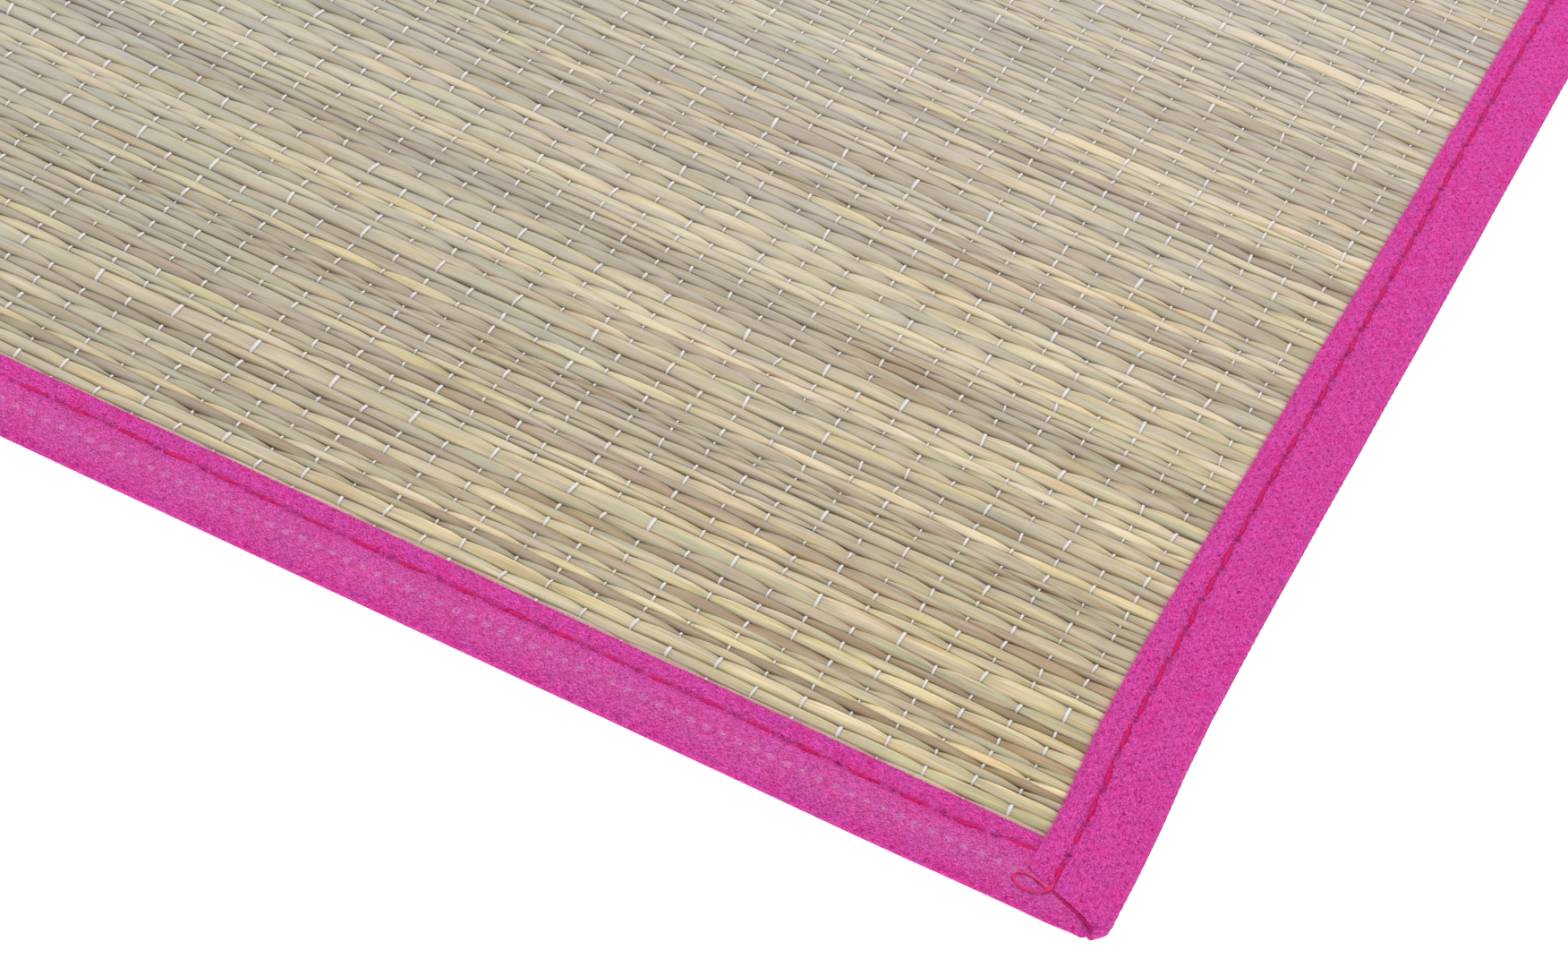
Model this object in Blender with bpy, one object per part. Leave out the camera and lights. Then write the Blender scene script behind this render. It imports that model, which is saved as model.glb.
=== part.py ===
"""Straw beach mat: a flat panel of woven rush, bound along its four edges with folded felt tape.

Metres, +Z up. The origin is on the floor under the middle of the mat. X runs across the mat, along the
straws, and Y runs along it, across them. Each binding is one tape folded round the panel's edge. The two
long ones lie over the ends of the two short ones, above and below, so the mat rests on their lower layers.
"""

import math
import random
from collections import namedtuple

import bmesh
import bpy

MM = 0.001

# The finished mat.
MAT_WIDTH = 600 * MM
MAT_LENGTH = 1800 * MM
TAPE = 1.0 * MM
CLEARANCE = 0.3 * MM
PANEL_THICKNESS = 2.2 * MM

# Levels of the layers, from the floor up.
PANEL_BOTTOM = TAPE + CLEARANCE
PANEL_TOP = PANEL_BOTTOM + PANEL_THICKNESS
PRESSED_BOTTOM = PANEL_BOTTOM + TAPE + CLEARANCE
TAPE_TOP = PANEL_TOP + CLEARANCE + TAPE
CORNER_TOP = TAPE_TOP + CLEARANCE + TAPE

# The panel. It stops inside the folds of the bindings, and is pressed thinner under the short ones.
PANEL_HALF_WIDTH = MAT_WIDTH / 2 - 6.2 * MM
PANEL_HALF_LENGTH = MAT_LENGTH / 2 - 6.5 * MM
PRESS_START = 32 * MM
PRESS_END = 26 * MM
STRAW_WIDTH = 3.1 * MM
STRAW_WIDTH_SPREAD = 0.27
STRAW_NARROWEST = 2.0 * MM
STRAW_WIDEST = 5.6 * MM
STRAW_SEED = 7
RIB_DEPTH_SHARE = 0.17

# The bindings. Their edges wander a little, and the long ones flare out where they pass the corners.
LONG_BINDING_WIDTH = 22.2 * MM
SHORT_BINDING_WIDTH = 24.8 * MM
CORNER_FLARE = 3.3 * MM
LONG_EDGE = MAT_WIDTH / 2 - CORNER_FLARE
EDGE_WANDER = 0.35 * MM
LONG_FOLD_DEPTH = 2.2 * MM
SHORT_FOLD_DEPTH = 1.6 * MM
SHORT_FOLD_HEIGHT = 3.0 * MM
SHORT_SHOULDER = 6.5 * MM
FOLD_STEPS = 6
STATION_STEP = 80 * MM
END_CLEAR = 120 * MM

# How a long binding ends at a corner, from its cut end inwards: distance from the mat's short edge, share of
# the flare, widths of the upper and lower layers, and how high the upper layer lies. The upper layer's end is
# turned in on a slant.
End = namedtuple("End", "along flare upper lower top")
BINDING_END = (
    End(1.4 * MM, 0.20, 2.6 * MM, 2.8 * MM, CORNER_TOP - 0.8 * MM),
    End(4.7 * MM, 1.00, 3.4 * MM, 9.0 * MM, CORNER_TOP - 0.2 * MM),
    End(6.2 * MM, 1.00, 3.6 * MM, 14.0 * MM, CORNER_TOP),
    End(11.0 * MM, 0.98, 16.0 * MM, 21.0 * MM, CORNER_TOP),
    End(14.3 * MM, 0.96, 23.0 * MM, 22.4 * MM, CORNER_TOP),
    End(26.5 * MM, 0.90, 23.4 * MM, 22.4 * MM, CORNER_TOP),
    End(34.0 * MM, 0.82, 23.8 * MM, 22.4 * MM, TAPE_TOP),
    End(48.0 * MM, 0.66, 23.8 * MM, 22.3 * MM, TAPE_TOP),
    End(66.0 * MM, 0.34, 23.2 * MM, 22.2 * MM, TAPE_TOP),
    End(88.0 * MM, 0.08, 22.6 * MM, 22.2 * MM, TAPE_TOP),
)
# Share of the full flare at each corner, by the signs of its X and Y.
FLARE_AT = {(1, -1): 1.0, (1, 1): 0.5, (-1, -1): 0.45, (-1, 1): 1.0}

RUSH_COLOUR = (0.50, 0.40, 0.24, 1.0)
FELT_COLOUR = (0.76, 0.035, 0.32, 1.0)


def clear_scene():
    for obj in list(bpy.data.objects):
        bpy.data.objects.remove(obj, do_unlink=True)


def material(name, colour, roughness):
    made = bpy.data.materials.new(name)
    made.use_nodes = True
    shader = made.node_tree.nodes["Principled BSDF"]
    shader.inputs["Base Color"].default_value = colour
    shader.inputs["Roughness"].default_value = roughness
    shader.inputs["Metallic"].default_value = 0.0
    return made


def grid_faces(build, rows):
    """Quads between neighbouring rows of vertices."""
    for near, far in zip(rows, rows[1:]):
        for left in range(len(near) - 1):
            build.faces.new((near[left], near[left + 1], far[left + 1], far[left]))


def finish_mesh(name, build, surface):
    """The object of a bmesh, with its faces pointing out, in the given material."""
    bmesh.ops.recalc_face_normals(build, faces=build.faces)
    mesh = bpy.data.meshes.new(name)
    build.to_mesh(mesh)
    build.free()
    mesh.materials.append(surface)
    obj = bpy.data.objects.new(name, mesh)
    bpy.context.scene.collection.objects.link(obj)
    return obj


def ease(value):
    """A soft step from 0 to 1."""
    held = min(1.0, max(0.0, value))
    return held * held * (3 - 2 * held)


def straw_edges():
    """Y of each boundary between neighbouring straws, whose widths vary as real rush does."""
    draw = random.Random(STRAW_SEED)
    edges = [0.0]
    while edges[-1] < 2 * PANEL_HALF_LENGTH:
        width = STRAW_WIDTH * draw.lognormvariate(0, STRAW_WIDTH_SPREAD)
        edges.append(edges[-1] + min(STRAW_WIDEST, max(STRAW_NARROWEST, width)))
    scale = 2 * PANEL_HALF_LENGTH / edges[-1]
    return [edge * scale - PANEL_HALF_LENGTH for edge in edges]


def panel_profile():
    """(y, bottom, top) down the panel's length: a low point between straws and a high one on each straw."""
    edges = straw_edges()
    places = [(edges[0], 1.0)]
    for near, far in zip(edges, edges[1:]):
        places.append(((near + far) / 2, 0.0))
        places.append((far, 1.0))
    profile = []
    for y, valley in places:
        from_edge = MAT_LENGTH / 2 - abs(y)
        pressed = ease((PRESS_START - from_edge) / (PRESS_START - PRESS_END))
        bottom = PANEL_BOTTOM + (PRESSED_BOTTOM - PANEL_BOTTOM) * pressed
        depth = RIB_DEPTH_SHARE * (PANEL_TOP - bottom) * valley
        profile.append((y, bottom + depth, PANEL_TOP - depth))
    return profile


def straw_panel(surface):
    """The woven rush: one sheet with a rib for each straw on both faces, straight across the mat."""
    build = bmesh.new()
    profile = panel_profile()
    sides = []
    for x in (-PANEL_HALF_WIDTH, PANEL_HALF_WIDTH):
        lower = [build.verts.new((x, y, bottom)) for y, bottom, top in profile]
        upper = [build.verts.new((x, y, top)) for y, bottom, top in profile]
        grid_faces(build, [lower, upper])
        sides.append(lower + upper[::-1])
    grid_faces(build, [side + side[:1] for side in sides])
    return finish_mesh("straw_panel", build, surface)


def fold_section(depth, bottom, top, upper, lower, shoulder=None):
    """(inwards, z) of a tape folded round an edge, from the lower layer's free edge to the upper one's."""
    middle = (bottom + top) / 2
    half = (top - bottom) / 2
    section = [(lower, bottom)]
    for step in range(FOLD_STEPS + 1):
        turn = math.pi * step / FOLD_STEPS
        section.append((depth - depth * math.sin(turn), middle - half * math.cos(turn)))
    if shoulder is not None:
        section.append(shoulder)
        section.append((upper, shoulder[1]))
    else:
        section.append((upper, top))
    return section


def wander(along, phase):
    """How far a sewn edge strays inwards at a place along it."""
    first = 1 - math.cos(along / (95 * MM) + phase)
    second = 1 - math.cos(along / (41 * MM) + 2.3 * phase)
    return EDGE_WANDER * (0.35 * first + 0.15 * second)


def binding(name, stations, surface):
    """A tape through the outer sections in stations, its thickness taken inwards."""
    build = bmesh.new()
    grid_faces(build, [[build.verts.new(point) for point in station] for station in stations])
    obj = finish_mesh(name, build, surface)
    wall = obj.modifiers.new("Tape", "SOLIDIFY")
    wall.thickness = TAPE
    wall.offset = -1
    wall.use_even_offset = True
    return obj


def corner_sections(side, end):
    """(y, edge, upper, lower, top) of a long binding's sections at one corner, from its cut end inwards."""
    found = []
    for row in BINDING_END:
        edge = LONG_EDGE + CORNER_FLARE * row.flare * FLARE_AT[side, end]
        found.append((end * (MAT_LENGTH / 2 - row.along), edge, row.upper, row.lower, row.top))
    return found


def middle_sections(side):
    """The same between a long binding's corners, where only its sewn edges wander."""
    reach = MAT_LENGTH / 2 - END_CLEAR
    steps = round(2 * reach / STATION_STEP)
    found = []
    for step in range(steps + 1):
        y = -reach + 2 * reach * step / steps
        strayed = wander(y, 1.1 * side)
        upper = LONG_BINDING_WIDTH - strayed + wander(y, 2.0 + side)
        found.append((y, LONG_EDGE - strayed, upper, LONG_BINDING_WIDTH, TAPE_TOP))
    return found


def long_binding(name, side, surface):
    """The tape round a long edge. side is the sign of X. Its ends lie over the short bindings."""
    sections = corner_sections(side, -1) + middle_sections(side) + corner_sections(side, 1)[::-1]
    stations = []
    for y, edge, upper, lower, top in sections:
        section = fold_section(LONG_FOLD_DEPTH, 0.0, top, upper, lower)
        stations.append([(side * (edge - inwards), y, z) for inwards, z in section])
    return binding(name, stations, surface)


def short_binding(name, side, surface):
    """The tape round a short edge. side is the sign of Y. Its ends are inside the long bindings."""
    fold_top = PANEL_BOTTOM + SHORT_FOLD_HEIGHT
    steps = round(2 * PANEL_HALF_WIDTH / (STATION_STEP / 2))
    stations = []
    for step in range(steps + 1):
        x = PANEL_HALF_WIDTH * (2 * step / steps - 1)
        strayed = wander(x, 0.7 * side)
        upper = SHORT_BINDING_WIDTH - strayed + wander(x, 1.6 + side)
        section = fold_section(
            SHORT_FOLD_DEPTH,
            PANEL_BOTTOM,
            fold_top,
            upper,
            SHORT_BINDING_WIDTH,
            shoulder=(SHORT_SHOULDER, TAPE_TOP),
        )
        edge = MAT_LENGTH / 2 - strayed
        stations.append([(x, side * (edge - inwards), z) for inwards, z in section])
    return binding(name, stations, surface)


def main():
    clear_scene()
    rush = material("woven_rush", RUSH_COLOUR, 0.62)
    felt = material("pink_felt_tape", FELT_COLOUR, 0.92)
    straw_panel(rush)
    short_binding("short_binding_near", -1, felt)
    short_binding("short_binding_far", 1, felt)
    long_binding("long_binding_right", 1, felt)
    long_binding("long_binding_left", -1, felt)


main()
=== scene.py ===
"""The looks of a straw beach mat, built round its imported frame.

The frame gives the mat's real size and the place of each sewn piece. This script weaves the rush straws over
and under their warp threads, folds the felt tapes round the four edges, sews them down, and lights them. All
sizes are in metres. X runs along the straws, Y along the mat, and Z up from the floor.
"""

import logging
import math
from dataclasses import dataclass, field
from enum import Enum

import bpy
import numpy as np
from mathutils import Euler, Matrix, Vector


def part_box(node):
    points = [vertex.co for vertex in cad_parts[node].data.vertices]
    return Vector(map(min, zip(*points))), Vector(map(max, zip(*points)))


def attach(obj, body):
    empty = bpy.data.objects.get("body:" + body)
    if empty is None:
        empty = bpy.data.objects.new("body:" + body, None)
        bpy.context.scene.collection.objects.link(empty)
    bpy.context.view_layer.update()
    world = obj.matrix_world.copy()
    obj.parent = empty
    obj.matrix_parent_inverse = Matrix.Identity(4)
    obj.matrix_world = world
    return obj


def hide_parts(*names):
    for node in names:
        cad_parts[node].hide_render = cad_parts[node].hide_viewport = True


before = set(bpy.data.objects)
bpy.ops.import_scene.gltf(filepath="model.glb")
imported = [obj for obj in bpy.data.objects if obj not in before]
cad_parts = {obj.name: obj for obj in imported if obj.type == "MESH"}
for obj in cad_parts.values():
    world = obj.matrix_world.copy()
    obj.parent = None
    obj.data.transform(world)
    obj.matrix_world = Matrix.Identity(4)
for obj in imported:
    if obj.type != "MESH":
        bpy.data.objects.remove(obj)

MM = 0.001
LOG = logging.getLogger("mat")
EDGE_WANDER = 0.35 * MM

Tree = bpy.types.NodeTree
Socket = bpy.types.NodeSocket
Piece = bpy.types.Object
Material = bpy.types.Material


def linear(code: str) -> tuple[float, float, float, float]:
    """Turns an sRGB hex colour to a linear one.

    Args:
        code: The colour as six hex digits.

    Returns:
        Linear red, green, blue and an alpha of 1.
    """
    parts = [int(code[place:place + 2], 16) / 255 for place in (0, 2, 4)]
    light = [part / 12.92 if part <= 0.04045 else ((part + 0.055) / 1.055) ** 2.4 for part in parts]
    return (*light, 1.0)


def add_node(tree: Tree, kind: str, inputs: dict | tuple = (), **settings) -> bpy.types.Node:
    """Adds a node with its settings and links.

    Args:
        tree: The tree that the node goes into.
        kind: The node's type.
        inputs: For each input's name or number, the output that feeds it or its fixed value. A tuple gives
            the first inputs in their order.
        settings: The node's own properties.

    Returns:
        The new node.
    """
    node = tree.nodes.new(kind)
    for name, value in settings.items():
        setattr(node, name, value)
    given = inputs if isinstance(inputs, dict) else dict(enumerate(inputs))
    for name, value in given.items():
        socket = node.inputs[name]
        if isinstance(value, Socket):
            tree.links.new(value, socket)
        else:
            socket.default_value = value
    return node


def new_material(name: str) -> tuple[Material, Tree, bpy.types.Node]:
    """Makes a material that holds one Principled BSDF.

    Args:
        name: What the real material is called.

    Returns:
        The material, its node tree and its shader.
    """
    material = bpy.data.materials.new(name)
    material.use_nodes = True
    tree = material.node_tree
    tree.nodes.clear()
    shader = add_node(tree, "ShaderNodeBsdfPrincipled")
    add_node(tree, "ShaderNodeOutputMaterial", {"Surface": shader.outputs[0]})
    return material, tree, shader


def layered(tree: Tree, colour: Socket, layers: tuple) -> Socket:
    """Lays tints over a colour, one after another.

    Args:
        tree: The material's tree.
        colour: The colour that the first tint goes over.
        layers: For each tint, how much of it shows, its hex colour, and MIX to cover or MULTIPLY to stain.

    Returns:
        The colour under all the tints.
    """
    for share, code, blend in layers:
        mixed = add_node(
            tree, "ShaderNodeMix", {"Factor": share, 6: colour, 7: linear(code)},
            data_type="RGBA", blend_type=blend,
        )
        colour = mixed.outputs[2]
    return colour


def ease(value: np.ndarray | float) -> np.ndarray | float:
    """A soft step from 0 to 1 as the value goes from 0 to 1."""
    held = np.clip(value, 0.0, 1.0)
    return held * held * (3 - 2 * held)


def new_object(name: str, mesh: bpy.types.Mesh) -> Piece:
    """Links a mesh into the scene as an object at the origin.

    Args:
        name: The object's name.
        mesh: Its mesh.

    Returns:
        The object.
    """
    piece = bpy.data.objects.new(name, mesh)
    bpy.context.scene.collection.objects.link(piece)
    return piece


def guide_mesh(
    name: str,
    points: np.ndarray,
    edges: np.ndarray | None = None,
    values: dict[str, np.ndarray] | None = None,
) -> Piece:
    """Makes the points, and the edges between them, that a node tree builds on.

    Args:
        name: The guide's name.
        points: One row of coordinates for each point.
        edges: Pairs of point numbers.
        values: Named values of the points, one number or one row of three for each.

    Returns:
        The guide object.
    """
    mesh = bpy.data.meshes.new(name)
    mesh.vertices.add(len(points))
    mesh.vertices.foreach_set("co", np.asarray(points, np.float32).ravel())
    if edges is not None:
        mesh.edges.add(len(edges))
        mesh.edges.foreach_set("vertices", np.asarray(edges, np.int32).ravel())
    keep_values(mesh, values or {})
    return new_object(name, mesh)


def keep_values(mesh: bpy.types.Mesh, values: dict[str, np.ndarray]) -> None:
    """Stores named values on a mesh's points.

    Args:
        mesh: The mesh.
        values: For each name, one number or one row of three for each point.
    """
    for key, array in values.items():
        data = np.asarray(array, np.float32)
        kind, part = ("FLOAT", "value") if data.ndim == 1 else ("FLOAT_VECTOR", "vector")
        mesh.attributes.new(key, kind, "POINT").data.foreach_set(part, data.ravel())


def new_tree(name: str, inputs: dict[str, str]) -> Tree:
    """Starts a Geometry Nodes tree with named inputs and one geometry output.

    Args:
        name: The tree's name.
        inputs: The type of socket for each input's name.

    Returns:
        The tree.
    """
    tree = bpy.data.node_groups.new(name, "GeometryNodeTree")
    for key, kind in inputs.items():
        tree.interface.new_socket(key, in_out="INPUT", socket_type=kind)
    tree.interface.new_socket("Geometry", in_out="OUTPUT", socket_type="NodeSocketGeometry")
    return tree


def end_tree(tree: Tree, geometry: Socket, finish: Socket) -> None:
    """Ends a tree by realizing its instances, shading them smooth and giving them their finish.

    Args:
        tree: The tree.
        geometry: What it has made.
        finish: The material.
    """
    real = add_node(tree, "GeometryNodeRealizeInstances", {"Geometry": geometry})
    smooth = add_node(tree, "GeometryNodeSetShadeSmooth", {"Geometry": real.outputs[0], "Shade Smooth": True})
    dressed = add_node(tree, "GeometryNodeSetMaterial", {"Geometry": smooth.outputs[0], "Material": finish})
    add_node(tree, "NodeGroupOutput", (dressed.outputs[0],))


def grown(name: str, guide: Piece, tree: Tree, inputs: dict) -> Piece:
    """Runs a node tree on a guide and keeps what it makes as a plain mesh.

    Args:
        name: The finished piece's name.
        guide: The object that the tree builds on. It is removed.
        tree: The node tree.
        inputs: The value of each of the tree's named inputs.

    Returns:
        The finished piece.
    """
    modifier = guide.modifiers.new("Grow", "NODES")
    modifier.node_group = tree
    for socket in tree.interface.items_tree:
        if socket.in_out == "INPUT" and socket.name in inputs:
            modifier[socket.identifier] = inputs[socket.name]
    return plain_copy(name, guide)


def plain_copy(name: str, guide: Piece) -> Piece:
    """Turns an object with its modifiers into a piece with a plain mesh.

    Args:
        name: The finished piece's name.
        guide: The object, which is removed.

    Returns:
        The finished piece.
    """
    graph = bpy.context.evaluated_depsgraph_get()
    mesh = bpy.data.meshes.new_from_object(
        guide.evaluated_get(graph), preserve_all_data_layers=True, depsgraph=graph
    )
    mesh.name = name
    bpy.data.objects.remove(guide, do_unlink=True)
    return new_object(name, mesh)


def rod(name: str, path: tuple[tuple[float, float], ...], widths: tuple[float, ...], sides: int) -> Piece:
    """A closed rod of unit width and height along a path, for a node tree to copy.

    Args:
        name: The object's name.
        path: Y and Z of the line through the rod's middle.
        widths: The rod's width at each of the path's points. 0 makes a point.
        sides: How many sides it has.

    Returns:
        The object.
    """
    radius = 0.6  # over a half, because a rod of a few flat sides looks thinner than a round thread
    points, rings = [], []
    for (y, z), width in zip(path, widths):
        if width == 0.0:
            rings.append([len(points)])
            points.append((0.0, y, z))
            continue
        turns = [math.tau * (side + 0.5) / sides - math.pi / 2 for side in range(sides)]
        rings.append(list(range(len(points), len(points) + sides)))
        half = width * radius
        points += [(math.cos(turn) * half, y, z + math.sin(turn) * half) for turn in turns]
    faces = []
    for near, far in zip(rings, rings[1:]):
        for side in range(sides):
            after = (side + 1) % sides
            pairs = ((near, side), (far, side), (far, after), (near, after))
            corners = [ring[place % len(ring)] for ring, place in pairs]
            faces.append(list(dict.fromkeys(corners)))
    for ring, first in ((rings[0], True), (rings[-1], False)):
        if len(ring) > 2:
            faces.append(ring if first else ring[::-1])
    mesh = bpy.data.meshes.new(name)
    mesh.from_pydata(points, [], faces)
    return new_object(name, mesh)


def scattered(
    name: str, points: np.ndarray, turn: np.ndarray, size: np.ndarray, shape: Piece, finish: Material
) -> Piece:
    """Sets a copy of a shape on each point, turned and scaled.

    Args:
        name: The finished piece's name.
        points: Where the copies go, one row for each.
        turn: How each is turned about X, Y and Z.
        size: The scale of each along its own X, Y and Z.
        shape: What is copied. It is removed.
        finish: The copies' material.

    Returns:
        All the copies as one piece.
    """
    kinds = {"Points": "NodeSocketGeometry", "Instance": "NodeSocketObject", "Finish": "NodeSocketMaterial"}
    tree = new_tree(name + "_copies", kinds)
    given = add_node(tree, "NodeGroupInput")
    copied = add_node(tree, "GeometryNodeObjectInfo", {"Object": given.outputs["Instance"]})
    spots = add_node(tree, "GeometryNodeMeshToPoints", {"Mesh": given.outputs["Points"]})
    turns, sizes = (
        add_node(
            tree, "GeometryNodeInputNamedAttribute", {"Name": key}, data_type="FLOAT_VECTOR"
        ).outputs["Attribute"]
        for key in ("turn", "size")
    )
    turned = add_node(tree, "FunctionNodeEulerToRotation", (turns,))
    copies = add_node(
        tree, "GeometryNodeInstanceOnPoints",
        {
            "Points": spots.outputs[0],
            "Instance": copied.outputs["Geometry"],
            "Rotation": turned.outputs[0],
            "Scale": sizes,
        },
    )
    end_tree(tree, copies.outputs[0], given.outputs["Finish"])
    guide = guide_mesh(name + "_places", points, None, {"turn": turn, "size": size})
    piece = grown(name, guide, tree, {"Instance": shape, "Finish": finish})
    bpy.data.objects.remove(shape, do_unlink=True)
    return piece


def bake_map(piece: Piece) -> None:
    """Lays a piece's upward faces and its downward faces side by side for the texture bake.

    Args:
        piece: The piece that gets the map.
    """
    mesh = piece.data
    corners = np.zeros(len(mesh.loops), np.int32)
    mesh.loops.foreach_get("vertex_index", corners)
    points = np.zeros(len(mesh.vertices) * 3, np.float32)
    mesh.vertices.foreach_get("co", points)
    flat = points.reshape(-1, 3)[corners, :2]
    normals = np.zeros(len(mesh.polygons) * 3, np.float32)
    mesh.polygons.foreach_get("normal", normals)
    totals = np.zeros(len(mesh.polygons), np.int32)
    mesh.polygons.foreach_get("loop_total", totals)
    down = np.repeat(normals.reshape(-1, 3)[:, 2] < 0, totals)
    low, high = flat.min(0), flat.max(0)
    place = (flat - low) / (high - low)
    place[:, 1] = place[:, 1] * 0.49 + 0.505 * down
    layer = mesh.uv_layers.new(name="OFBake")
    layer.data.foreach_set("uv", place.astype(np.float32).ravel())


class RushTone(Enum):
    """The colours that dried rush comes in, as places on the finish's colour ramp."""

    BROWN = 0.0
    MAUVE = 0.15
    GREY_BROWN = 0.30
    GREY_GREEN = 0.45
    KHAKI = 0.60
    STRAW = 0.74
    YELLOW = 0.88
    CREAM = 1.0


@dataclass(frozen=True)
class Streak:
    """A pattern of noise drawn out along a stem: the size of its streaks, and how much finer noise it has.

    shift moves the noise, so that two patterns differ.
    """

    length: float
    width: float
    detail: float
    shift: float = 0.0

    def build(self, tree: Tree, fibre: Socket) -> Socket:
        """Adds the pattern to a material.

        Args:
            tree: The material's tree.
            fibre: The place along and across the stem.

        Returns:
            A value from 0 to 1.
        """
        scale = (1 / self.length, 1 / self.width, 1.0)
        moved = (self.shift, self.shift, 0.0)
        place = add_node(tree, "ShaderNodeMapping", {"Vector": fibre, "Scale": scale, "Location": moved})
        noise = {"Vector": place.outputs[0], "Scale": 1.0, "Detail": self.detail}
        return add_node(tree, "ShaderNodeTexNoise", noise).outputs["Fac"]


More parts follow.
